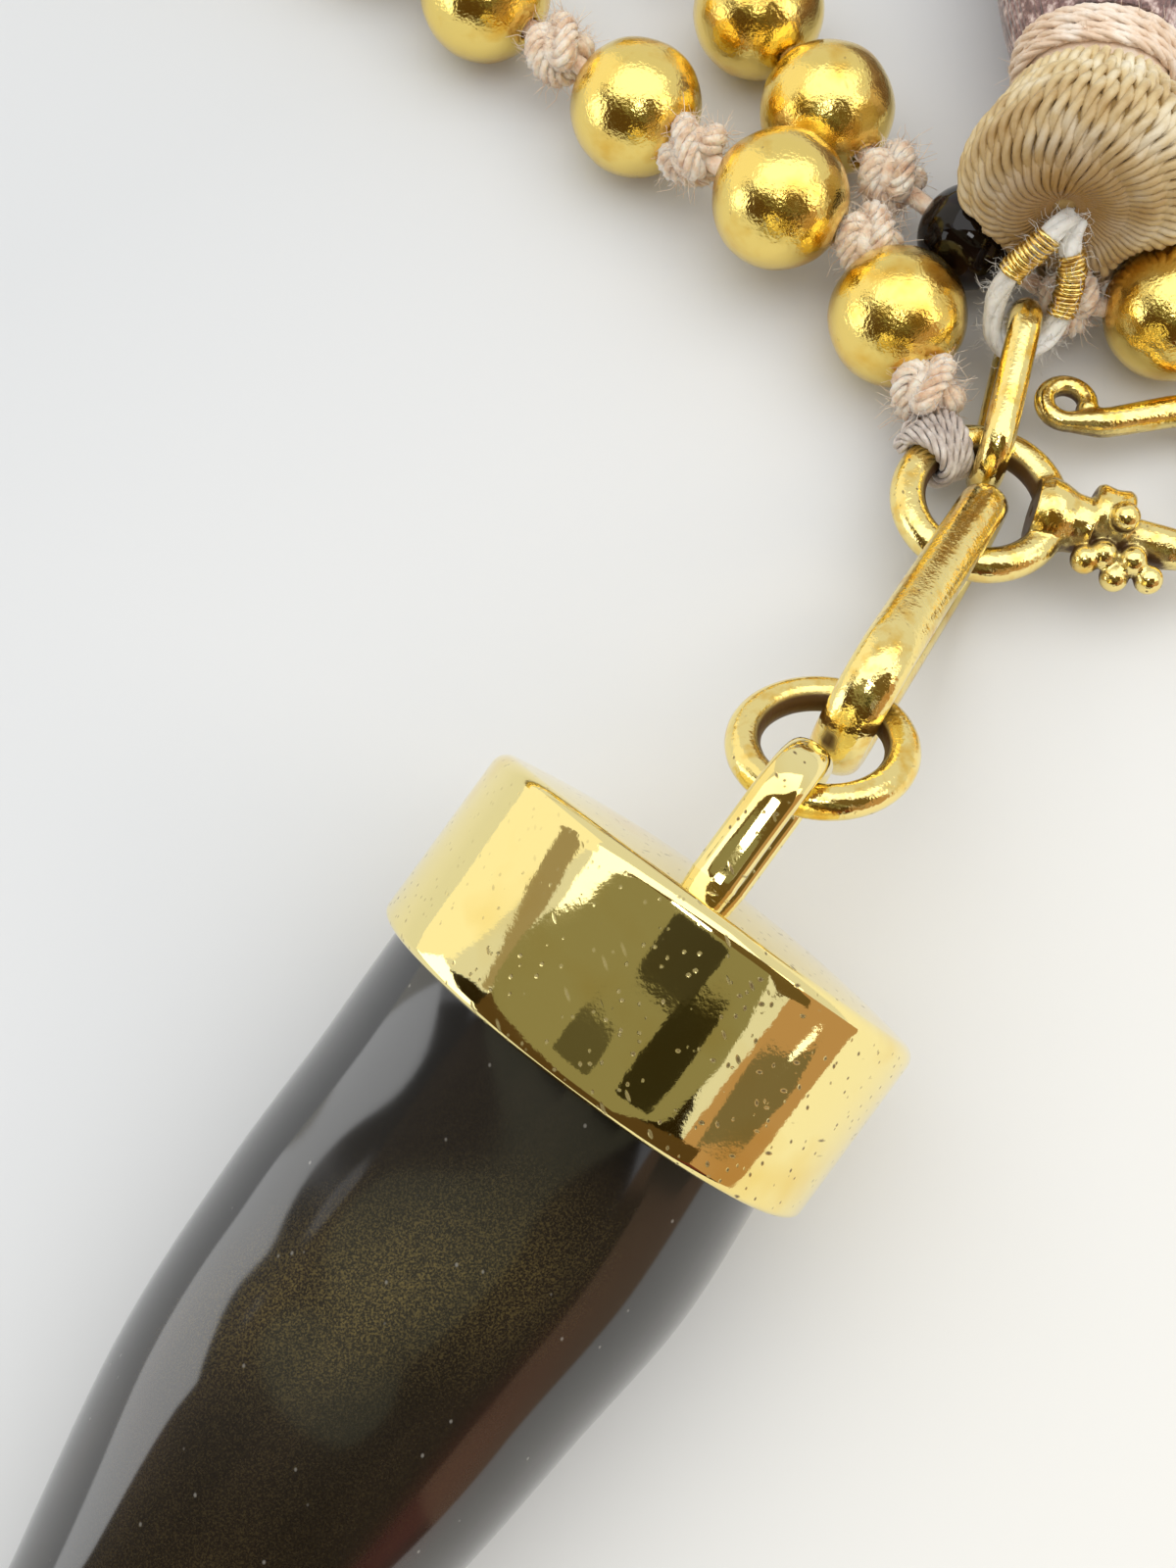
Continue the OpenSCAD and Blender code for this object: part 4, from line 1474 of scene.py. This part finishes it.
@dataclass
class Pendant:
    """The tusk and its gold cap."""

    mouth: tuple = (-16.3, -24.2, 8.8)
    heading: float = 232.3
    dip: float = 15.0
    cap_d: float = 17.5
    cap_h: float = 6.9
    dome: float = 0.7
    edge_r: float = 0.6
    socket_d: float = 16.2
    socket_h: float = 5.0
    eye_len: float = 6.5
    eye_r: float = 2.1
    eye_w: float = 1.7
    eye_t: float = 1.0
    # Place along the tusk, half width, half height, and shift of the section across and up
    sections: tuple = (
        (-4.6, 7.4, 7.2, -0.4, 0.0), (0.0, 7.7, 7.3, -0.3, 0.0), (5.0, 7.85, 7.3, -0.1, 0.0),
        (10.0, 7.55, 7.0, -0.25, 0.8), (16.5, 6.85, 6.6, -0.2, 2.05), (25.7, 5.1, 5.0, 0.1, 2.9),
        (33.0, 4.0, 3.9, 0.5, 3.75), (40.0, 2.6, 2.6, 1.0, 4.4), (44.5, 1.3, 1.3, 1.3, 4.45),
        (46.0, 0.4, 0.4, 1.4, 4.3))

    def place(self) -> Matrix:
        """Matrix of the pendant's axis, its x along the tusk from the cap's mouth."""
        return set_at(self.mouth, ("Z", self.heading), ("Y", self.dip))

    def cap_profile(self) -> list[tuple[float, float]]:
        """Closed section of the cap, as radius and height above its mouth.

        Returns:
            The section's corners in order.
        """
        out, r, h, inner = self.cap_d / 2, self.edge_r, self.cap_h, self.socket_d / 2
        rows = [(0.001, self.socket_h), (inner - 0.3, self.socket_h),
                (inner, self.socket_h - 0.3), (inner, 0.12), (inner + 0.12, 0.0)]
        rows += [(out - r * 0.5 + r * 0.5 * math.cos(a), r * 0.5 + r * 0.5 * math.sin(a))
                 for a in np.linspace(-math.pi / 2, 0, 7)]
        rows += [(out, h * k / 8) for k in range(1, 8)]
        rows += [(out - r + r * math.cos(a), h - r + r * math.sin(a))
                 for a in np.linspace(0, math.radians(84), 10)]
        rim = rows[-1][0]
        rows += [(rim * (1 - k / 12), h + self.dome * (1 - (1 - k / 12) ** 2))
                 for k in range(1, 12)]
        return [*rows, (0.001, h + self.dome)]

    def eye(self) -> Shape:
        """The flat strap bent into the cap's eye, standing along the axis.

        Returns:
            The closed strap.
        """
        leg = self.eye_len - self.eye_r - self.eye_t / 2
        bend = np.linspace(-math.pi / 2, math.pi / 2, 33)
        path = [(x, -self.eye_r) for x in np.linspace(-0.6, leg, 14)[:-1]]
        path += [(leg + self.eye_r * math.cos(a), self.eye_r * math.sin(a)) for a in bend]
        path += [(x, self.eye_r) for x in np.linspace(leg, -0.6, 14)[1:]]
        turn = circle(24)
        wide = np.sign(np.sin(turn)) * np.abs(np.sin(turn)) ** 0.75 * self.eye_w / 2
        rings = []
        flat = np.array(path)
        for (x, z), (wx, wz) in zip(flat, unit(np.gradient(flat, axis=0))):
            # Solder flows out where the strap meets the cap
            flare = 1 + 0.35 * max(0.0, 1 - max(x, 0) / 0.7) ** 2
            thick = self.eye_t / 2 * flare * np.cos(turn)
            rings.append(np.stack([x - thick * wz, wide * flare, z + thick * wx], axis=-1))
        shape = skinned(np.array(rings))
        # Its x runs along the axis away from the tusk
        return Shape(shape.verts * np.array([-1, 1, 1]) - np.array([self.cap_h, 0, 0]), shape.faces)

    def build(self) -> None:
        """Makes the cap with its eye, and the tusk."""
        cap = turned(lathed(self.cap_profile(), 160), Matrix.Rotation(-math.pi / 2, 4, "Y"))
        mesh = solid(turned(joined([cap, self.eye()]), self.place()))
        piece("cap_with_eye", mesh, Finish.CAP_GOLD, "gold_cap", ["tusk_cap"])
        rows = smooth(self.sections, 10)
        a = circle(96)
        rings = np.stack([np.tile(rows[:, :1], (1, 96)), rows[:, 3:4] + rows[:, 1:2] * np.cos(a),
                          rows[:, 4:5] + rows[:, 2:3] * np.sin(a)], axis=-1)
        mesh = solid(turned(skinned(rings), self.place()))
        piece("tusk_polished", mesh, Finish.HORN, "tusk", ["tusk"])


# Tassel


@dataclass
class Tassel:
    """The tassel: its held loop of cord, wound head, band and loose skirt."""

    strand: Strand
    link_b: tuple
    gather: tuple = (4.3, 10.8, 6.4)
    band: tuple = (5.5, 17.6, 5.9)
    end: tuple = (12.5, 70.0, 3.5)
    gimp_ends: tuple = (
        ((2.75, 10.4, 6.75), (1.55, 9.75, 5.0)), ((3.9, 8.6, 3.6), (3.9, 10.2, 5.9)))
    gimp_wire: float = 0.21
    head_d: float = 10.8
    head_cords: int = 54
    # Share of the head's length, and its width as a share of its diameter
    head_profile: tuple = (
        (0.06, 0.15), (0.0, 0.4), (0.02, 0.66), (0.12, 0.88), (0.27, 0.99), (0.45, 0.99),
        (0.63, 0.9), (0.82, 0.77), (1.0, 0.65))
    head_step: float = 0.17
    head_inset: float = 0.31
    core_inset: float = 0.38
    swirl: float = 10.0
    # The cords draw in to a point above and to one side of the head's middle
    draw_in: tuple = (-1.45, -0.2, 1.5)
    band_d: float = 7.2
    band_thick: float = 0.5
    wraps: int = 4
    wrap_gap: float = 0.6
    skirt_len: float = 52.0
    # Share of the skirt's length, half width and half height
    skirt_profile: tuple = (
        (0.0, 3.5, 3.5), (0.05, 4.2, 4.0), (0.15, 5.0, 4.4), (0.35, 6.0, 4.4), (0.6, 6.9, 4.2),
        (0.85, 7.6, 3.8), (1.0, 7.9, 3.4))
    strands: int = 300
    loop_cord: Cord = Cord(plies=4, radius=0.31, offset=0.18, lay=7.0, sides=9)
    head_cord: Cord = Cord(plies=2, radius=0.225, offset=0.15, lay=2.9, sides=7)
    band_cord: Cord = Cord(plies=3, radius=0.155, offset=0.12, lay=3.0, sides=7)
    silk: Cord = Cord(plies=1, radius=0.24, offset=0.0, lay=90.0, sides=5)
    loop_fuzz: Fuzz = Fuzz(((0, 0, 0), (0.06, 0.02, 0.3), (0.25, -0.05, 0.5), (0.55, 0.1, 0.6)),
                           (0.012, 0.01, 0.009, 0.004), 8)
    band_fuzz: Fuzz = Fuzz(((0, 0, 0), (0.1, 0, 0.4), (0.5, 0.1, 0.7)), (0.012, 0.01, 0.005), 4)
    # Hairs to a square millimetre
    loop_hairs: float = 9.0
    band_hairs: float = 1.2

    def __post_init__(self) -> None:
        """Works out the tassel's way and what it leans on."""
        self.way = unit(np.subtract(self.band, self.gather))
        self.length = float(np.linalg.norm(np.subtract(self.band, self.gather)))
        self.across = unit(np.cross(self.way, [0, 0, 1.0]))
        sizes = {K: self.strand.knot_r, G: self.strand.gold_d / 2, D: self.strand.dark_d / 2}
        rows = self.strand.right
        self.presses = [(np.array(r[:3]), sizes[r[3]] + 0.3) for r in rows]
        self.presses += [((np.array(b[:3]) + np.array(a[:3])) / 2, 1.5)
                         for a, b in zip(rows, rows[1:])]

    def reach(self, at: Points, out: Points, r: float) -> float:
        """How far a ray reaches before something hard, at most r.

        Args:
            at: Where the ray starts.
            out: Its way, at length one.
            r: The most that it may reach.

        Returns:
            The reach.
        """
        for middle, size in self.presses:
            way = middle - at
            along = float(way @ out)
            left = size**2 - (float(way @ way) - along**2)
            if left > 0 and along > 0:
                r = min(r, along - math.sqrt(left))
        return r

    def on_section(self, at: Points, way: Points, angle: float, wide: float, high: float,
                   inset: float) -> Points:
        """Point on the tassel's pressed skin.

        Args:
            at: Middle of the section.
            way: The tassel's way there.
            angle: Angle round it.
            wide: Half width.
            high: Half height.
            inset: How far below the skin.

        Returns:
            The point, kept above the table.
        """
        across = unit(np.cross(way, [0, 0, 1.0]))
        up = np.cross(across, way)
        out = wide * math.cos(angle) * across + high * math.sin(angle) * up
        size = float(np.linalg.norm(out))
        out = out / size
        p = at + out * (self.reach(at, out, size) - inset)
        p[2] = max(p[2], 0.15 + inset)
        return p

    def build_core(self, name: str, slot: str, finish: Finish, rows: Iterable[tuple]) -> None:
        """Makes a closed core below the cords.

        Args:
            name: The piece's name.
            slot: The record's material slot.
            finish: Its finish.
            rows: Middle, way, half width, half height and inset of each section.
        """
        rings = [[self.on_section(at, way, math.tau * i / 60, wide, high, inset)
                  for i in range(60)] for at, way, wide, high, inset in rows]
        piece(name, solid(skinned(np.array(rings))), finish, slot)

    def build_cord(self) -> None:
        """Makes the white loop of cord with its fuzz and the gold gimp round parts of it."""
        far = np.array(self.link_b) + [0.02, 0.08, -0.05]
        loop = smooth([
            (3.8, 11.3, 6.9), (3.15, 10.65, 7.0), (2.4, 10.1, 6.3), (1.6, 9.8, 5.1),
            (1.1, 9.1, 3.9), (1.2, 8.0, 3.0), far, (3.2, 7.7, 2.9), (3.9, 8.6, 3.6),
            (4.1, 9.6, 5.0), (3.8, 10.4, 6.2), (4.1, 11.3, 6.8)], 8)
        along = lengths(loop)
        cord = self.loop_cord.along([at_lengths(loop, np.arange(0, along[-1], 0.18))],
                                    Finish.WHITE_COTTON)
        hairs = self.loop_fuzz.over(cord, self.loop_hairs, Finish.WHITE_COTTON)
        piece("tassel_white_cord", cord, Finish.WHITE_COTTON, "tassel_cord", ["tassel_cord"])
        piece("tassel_cord_fuzz", hairs, Finish.WHITE_COTTON, "tassel_cord", recalc=False)
        coils = []
        for ends in self.gimp_ends:
            start, stop = (
                along[np.linalg.norm(loop - np.array(p), axis=1).argmin()] for p in ends)
            count = round((stop - start) / self.gimp_wire)
            middle = at_lengths(loop, np.linspace(start, stop, count * 14))
            side, third = frames(middle)
            a = np.linspace(0, math.tau * count, len(middle))[:, None]
            loose = 0.54 + 0.03 * np.sin(1.3 * a)
            helix = middle + loose * (np.cos(a) * side + np.sin(a) * third)
            coils.append(swept(helix, self.gimp_wire / 2, 6))
        piece("tassel_gold_gimp", solid(joined(coils)), Finish.GIMP_GOLD, "gold_wire")

    def head_row(self, share: float, wide: float) -> tuple[Points, float]:
        """Middle and radius of the head's section at a share of its length.

        Args:
            share: Share of the head's length.
            wide: Width as a share of the head's diameter.

        Returns:
            The middle and the radius.
        """
        start = np.array(self.gather) + 0.3 * self.way
        pull = max(0.0, 1 - wide / 0.95) ** 1.5
        at = start + self.way * (self.length - self.band_thick - 0.3) * share
        return at + np.array(self.draw_in) * pull, wide * self.head_d / 2

    def build_head(self) -> None:
        """Makes the wound head: a core dark with painted shade, and twisted cords over it."""
        rows = smooth(self.head_profile, 8)
        room = rows[:, 1] * math.pi * self.head_d / self.head_cords
        paths, held, slim = [], [], []
        for k in range(self.head_cords):
            wobble = 0.05 * math.sin(k * 2.4)
            points = []
            for share, wide in rows:
                at, r = self.head_row(share, wide)
                swirl = math.radians(self.swirl) * max(0.0, 1 - share * 1.6) ** 2
                angle = math.tau * (k + wobble) / self.head_cords + swirl
                points.append(self.on_section(at, self.way, angle, r, r, self.head_inset))
            line = np.array(points)
            along = lengths(line)
            line = at_lengths(line, np.arange(0, along[-1], self.head_step))
            paths.append(line)
            s = np.arange(len(line)) * self.head_step
            # Painted shade with some stain, strongest where the cords draw in
            held.append(0.95 * np.exp(-((s / 4.2) ** 2)))
            # The cords, 0.75 mm wide, crowd together where they draw in
            slim.append(1 - np.clip(np.interp(s, along, room) * 1.9 / 0.75, 0.4, 1.0))
        mesh = self.head_cord.along(paths, Finish.HEAD_SATIN, held=held, slim=slim)
        piece("tassel_head_cords", mesh, Finish.HEAD_SATIN, "tassel_head", ["tassel_head"])
        # The core's brown is painted shade between the cords
        core = (self.head_row(share, wide) for share, wide in rows[::2])
        self.build_core("tassel_head_core", "tassel_head", Finish.HEAD_SHADE_CORE,
                        ((at, self.way, r, r, self.core_inset) for at, r in core))

    def build_band(self) -> None:
        """Makes the wraps of thread round the neck."""
        band = np.array(self.band) + 0.3 * self.way
        up = np.cross(self.across, self.way)
        a = np.linspace(0, math.tau * self.wraps, self.wraps * 72)
        r = (self.band_d - self.band_thick) / 2 + 0.05 * np.sin(a / self.wraps * 2) + 0.008 * a
        # The wraps bow away from the head where they pass its sides
        s = np.linspace(0, self.wrap_gap * (self.wraps - 1), len(a)) + 0.5 * np.cos(a) ** 2
        path = (band + s[:, None] * self.way
                + r[:, None] * (np.cos(a)[:, None] * self.across + np.sin(a)[:, None] * up))
        mesh = self.band_cord.along([path], Finish.BAND_SATIN)
        hairs = self.band_fuzz.over(mesh, self.band_hairs, Finish.BAND_SATIN)
        piece("tassel_band_wraps", mesh, Finish.BAND_SATIN, "tassel_band", ["tassel_band"])
        piece("tassel_band_fuzz", hairs, Finish.BAND_SATIN, "tassel_band", recalc=False)
        neck = lathed([(0.001, -0.3), (3.1, -0.3), (3.1, 2.5), (0.001, 2.5)], 48)
        place = along_way(self.band, self.way) @ Matrix.Rotation(math.pi / 2, 4, "Y")
        piece("tassel_neck_core", solid(turned(neck, place)), Finish.BAND_SATIN, "tassel_band")

    def build_skirt(self) -> None:
        """Makes the loose strands of the skirt."""
        start = np.array(self.band) + self.way * (self.wrap_gap * self.wraps)
        way = unit(np.array(self.end) - start)
        rows = smooth(self.skirt_profile, 6)
        rng = np.random.default_rng(11)
        paths = []
        for k in range(self.strands):
            # The strands lie in three layers
            depth = 0.25 + (0.0, 0.5, 1.2)[k % 3]
            angle = math.tau * k / self.strands + rng.uniform(-0.03, 0.03)
            drift, wave = rng.uniform(-0.12, 0.12), rng.uniform(0, math.tau)
            reach = rng.uniform(0.94, 1.0)
            points = []
            for share, wide, high in rows:
                at = start + way * self.skirt_len * share * reach
                turn = angle + drift * share + 0.04 * math.sin(share * 9 + wave) * share
                ripple = 0.15 * math.sin(share * 14 + wave) * min(1.0, share * 4)
                size = depth * (0.5 + 0.5 * min(1.0, share * 8)) + ripple
                points.append(self.on_section(at, way, turn, wide, high, max(size, 0.22)))
            paths.append(np.array(points))
        mesh = self.silk.along(paths, Finish.SKIRT_SILK)
        piece("tassel_skirt_strands", mesh, Finish.SKIRT_SILK, "tassel_skirt", ["tassel_skirt"])
        self.build_core("tassel_skirt_core", "tassel_skirt", Finish.SKIRT_SILK, (
            (start + way * self.skirt_len * 0.93 * share, way, wide, high, 0.6 + share)
            for share, wide, high in rows))

    def build(self) -> None:
        """Makes the whole tassel."""
        self.build_cord()
        self.build_head()
        self.build_band()
        self.build_skirt()


# Studio


@dataclass
class Studio:
    """Pale floor, soft light and the camera."""

    eye: tuple = (0.047242, -0.155190, 0.0705)
    elevation: float = 72.0
    focal_share: float = 1830 / 1600
    film: float = 36.0
    floor_half: float = 4.0
    sky: str = "#FBFCFF"
    # The lenses, the grip and the lamp lie in front of the camera's back, the hand behind it
    lens_front: float = -0.001
    lamp_front: float = -0.002
    hand_behind: float = 0.001

    def at_eye(self, across: float, along: float, away: float = 0.0) -> Points:
        """Point beside the lens.

        Args:
            across: Metres across the tusk.
            along: Metres along it, towards the clasp.
            away: Metres behind the lens.

        Returns:
            The point.
        """
        up = np.array([0, 0.951, 0.309])
        flat = across * np.array([0.79, -0.61]) + along * np.array([0.61, 0.79])
        back = np.array([0, 0.309, -0.951]) * -away
        return np.array(self.eye) + flat[0] * np.array([1.0, 0, 0]) + flat[1] * up + back

    def on_table(self, across: float, along: float, height: float = 0.01) -> Points:
        """Point above the table, across and along the tusk from the lens, in metres."""
        return np.array([self.eye[0] + 0.79 * across + 0.61 * along,
                         self.eye[1] - 0.61 * across + 0.79 * along, height])

    def rounded(self, across: float, along: float, half: tuple[float, float], r: float,
                away: float) -> list[Points]:
        """Rounded outline in the plane of the hand-held camera's back.

        Args:
            across: Its middle, across the tusk, in metres from the lens.
            along: Its middle, along the tusk towards the clasp.
            half: Its half sizes across and along.
            r: Radius of its corners.
            away: How far it lies behind the camera's back.

        Returns:
            The outline's points.
        """
        points = []
        for quarter, (sx, sy) in enumerate(((1, 1), (-1, 1), (-1, -1), (1, -1))):
            for a in (math.radians(90 * quarter + 15 * k) for k in range(7)):
                x = across + sx * (half[0] - r) + r * math.cos(a)
                y = along + sy * (half[1] - r) + r * math.sin(a)
                points.append(self.at_eye(x, y, away))
        return points

    def outline(self, *corners: tuple[float, float], away: float = 0.0) -> list[Points]:
        """Outline beside the lens from corners across and along the tusk, in millimetres."""
        return [self.at_eye(x * MM, y * MM, away) for x, y in corners]

    def standing(self, across: float, *corners: tuple[float, float]) -> list[Points]:
        """Outline on a wall beside the tusk, from corners along it and above the table."""
        return [self.on_table(across, x * MM, z * MM) for x, z in corners]

    def card(self, name: str, corners: Sequence[Points], colour: str, glow: float) -> None:
        """Makes a flat card that lights or darkens reflections and isn't seen itself.

        Args:
            name: The card's name.
            corners: Its corners in metres.
            colour: Its sRGB hex colour.
            glow: Strength of its light.
        """
        obj = draft(name, Shape(np.array(corners), [tuple(range(len(corners)))]))
        material, add = new_material(name)
        light = add("ShaderNodeEmission", {"Color": linear(colour), "Strength": glow})
        add("ShaderNodeOutputMaterial", {"Surface": light})
        obj.data.materials.append(material)
        obj.visible_camera = False
        obj.visible_shadow = False
        obj.visible_diffuse = False

    def build_floor(self) -> None:
        """Makes the board that the necklace lies on."""
        half = self.floor_half
        corners = np.array([(-half, -half, 0), (half, -half, 0), (half, half, 0), (-half, half, 0)])
        floor = draft("floor", Shape(corners, [(0, 1, 2, 3)]))
        material, add = new_material("matt_white_board")
        place = add("ShaderNodeTexCoord").outputs["Object"]
        # Painted shade: the board is a little greyer away from the light
        away = add("ShaderNodeVectorMath", {0: place, 1: (0.62, -0.78, 0.0)},
                   operation="DOT_PRODUCT")
        painted_falloff = add("ShaderNodeMapRange", {"Value": away, "From Min": 0.097, "From Max": 0.167})
        # Far off the board glows with painted light like the room's, so that polished metal mirrors
        # no horizon
        reach = add("ShaderNodeVectorMath", {0: place}, operation="LENGTH")
        far_light = add("ShaderNodeMapRange",
                        {"Value": reach, "From Min": 0.5, "From Max": 1.4, "To Max": 0.22})
        surfaced(add, {
            "Base Color": ramp(add, painted_falloff, [(0.0, "#D3D5D6"), (0.45, "#DEDFDF"), (1.0, "#E8E7E2")]),
            "Roughness": 1.0, "Specular IOR Level": 0.0, "Emission Color": linear(self.sky),
            "Emission Strength": far_light})
        floor.data.materials.append(material)

    def build_light(self) -> None:
        """Makes the room's light and two softboxes."""
        world = bpy.data.worlds.new("soft_room")
        bpy.context.scene.world = world
        world.use_nodes = True
        background = world.node_tree.nodes["Background"].inputs
        background[0].default_value = linear(self.sky)
        background[1].default_value = 0.8
        for name, at, target, width, height, power, colour in (
            ("overhead_softbox", (0.04, -0.06, 0.55), (0.04, -0.1, 0), 1.1, 0.55, 2.08, "#FFFEFA"),
            ("low_softbox", (0.5, -0.3, 0.35), (0.05, -0.14, 0), 0.25, 0.2, 0.36, "#FFEBCB"),
        ):
            lamp = bpy.data.lights.new(name, "AREA")
            lamp.shape = "RECTANGLE"
            lamp.size, lamp.size_y = width, height
            lamp.energy = power
            lamp.color = linear(colour)[:3]
            obj = placed(name, lamp)
            obj.location = at
            away = Vector(target) - Vector(at)
            obj.rotation_euler = away.to_track_quat("-Z", "Y").to_euler()

    def build_cards(self) -> None:
        """Makes what polished metal mirrors: the hand-held camera, its lenses and the room."""
        front, lamp = self.lens_front, self.lamp_front
        cards = (
            ("camera_back", self.outline(
                (-25, 4), (-55, -9.6), (-80, -14.5), (-95, -18), (-98, -20.5), (-92, -23),
                (-60, -25), (20, -23), (40, -17.5), (52, -13.8), (57, -10.3), (54, -7), (49, -4),
                (44, 4)), "#8D886A", 1.0),
            ("camera_lens_far", self.rounded(0.007, -0.0045, (0.014, 0.004), 0.0035, front),
             "#4A4532", 0.8),
            ("camera_lens_near", self.rounded(0.027, -0.0108, (0.011, 0.0042), 0.0038, front),
             "#38331F", 0.8),
            ("camera_grip", self.rounded(-0.006, -0.0145, (0.010, 0.0027), 0.0024, front),
             "#5E5942", 0.9),
            ("lamp_by_camera", self.rounded(-0.001, 0.0065, (0.010, 0.005), 0.002, lamp),
             "#FFFFFF", 7.0),
            ("bright_side", self.standing(-0.103, (-13, 0), (80, 0), (80, 110), (-13, 110)),
             "#FFFBEE", 1.05),
            ("brown_strip", self.standing(
                -0.1, (2, 52), (-2, 54.6), (-8.6, 58.6), (-19.7, 73.9), (-30, 85), (-33, 102),
                (-26.6, 93.9), (-17, 87.8), (-7.7, 79.4), (2, 72)), "#A89A82", 0.9),
            ("low_window", self.standing(
                -0.1, (-12, 0), (-12, 30), (-13.5, 34), (-35, 62), (-55, 81), (-75, 81), (-90, 67),
                (-110, 38), (-110, 0)), "#FAFBFB", 2.4),
            ("dark_surroundings",
             [*(self.at_eye(x, y, self.hand_behind) for x, y in (
                 (-0.085, -0.0235), (0.02, -0.021), (0.045, -0.0185), (0.1, -0.02))),
              self.on_table(0.24, -0.17), self.on_table(-0.16, -0.19)], "#6A5232", 0.65),
            ("hand_at_camera", self.outline(
                (-48, -5), (-27, 8), (-3, 21), (38, 48), (68, 48), (105, 25), (108, 1), (58, -4),
                (44, 3.5), (-25, 3.5), away=self.hand_behind), "#74603C", 0.8),
            ("dark_corner_left", self.standing(
                -0.102, (-19, 40), (-35, 61), (-55, 80), (-75, 80), (-90, 66), (-110, 37),
                (-170, 37), (-170, 200), (-62, 150), (-37, 106), (-33, 85), (-27, 76), (-23, 60)),
             "#3A2E16", 0.5),
            ("dark_corner_right", self.standing(
                0.101, (-27, 68), (-27, 130), (-80, 170), (-220, 170), (-220, 0), (-32, 0),
                (-32, 64)), "#3A2E16", 0.5),
            ("amber_card", self.standing(0.1, (-34, 0), (60, 0), (60, 82), (-34, 70)),
             "#C8A07A", 0.85),
            ("red_card", self.standing(0.1, (-34, 13), (-130, 17), (-130, 62), (-34, 48)),
             "#84463A", 0.6),
            ("brown_card", self.standing(
                0.097, (-11.6, 63.5), (-18.2, 54.3), (-5.3, 18.1), (2.8, 13.6), (5, 20.8)),
             "#877A60", 0.8),
            ("small_glint", self.standing(0.095, (-1.5, 38), (-0.5, 33), (4.2, 27), (3, 33)),
             "#FFFFFF", 1.8),
        )
        for card in cards:
            self.card(*card)

    def build_camera(self) -> None:
        """Makes the camera at the photo's viewing angle."""
        camera = bpy.data.cameras.new("camera")
        camera.sensor_fit = "VERTICAL"
        camera.sensor_height = self.film
        camera.lens = self.film * self.focal_share
        camera.clip_start = 0.005
        obj = placed("camera", camera)
        obj.location = self.eye
        obj.rotation_euler = (math.radians(90 - self.elevation), 0, 0)
        scene = bpy.context.scene
        scene.camera = obj
        scene.view_settings.view_transform = "Standard"
        scene.view_settings.look = "None"

    def build(self) -> None:
        """Makes the floor, the lights, the cards and the camera."""
        self.build_floor()
        self.build_light()
        self.build_cards()
        self.build_camera()


def main() -> None:
    """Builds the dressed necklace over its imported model."""
    logging.basicConfig(level=logging.INFO, format="%(name)s %(message)s")
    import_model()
    strand, clasp, links = Strand(), Clasp(), Links()
    strand.build(clasp)
    clasp.build()
    links.build()
    Pendant().build()
    Tassel(strand, links.tassel_b).build()
    Studio().build()


if __name__ == "__main__":
    main()
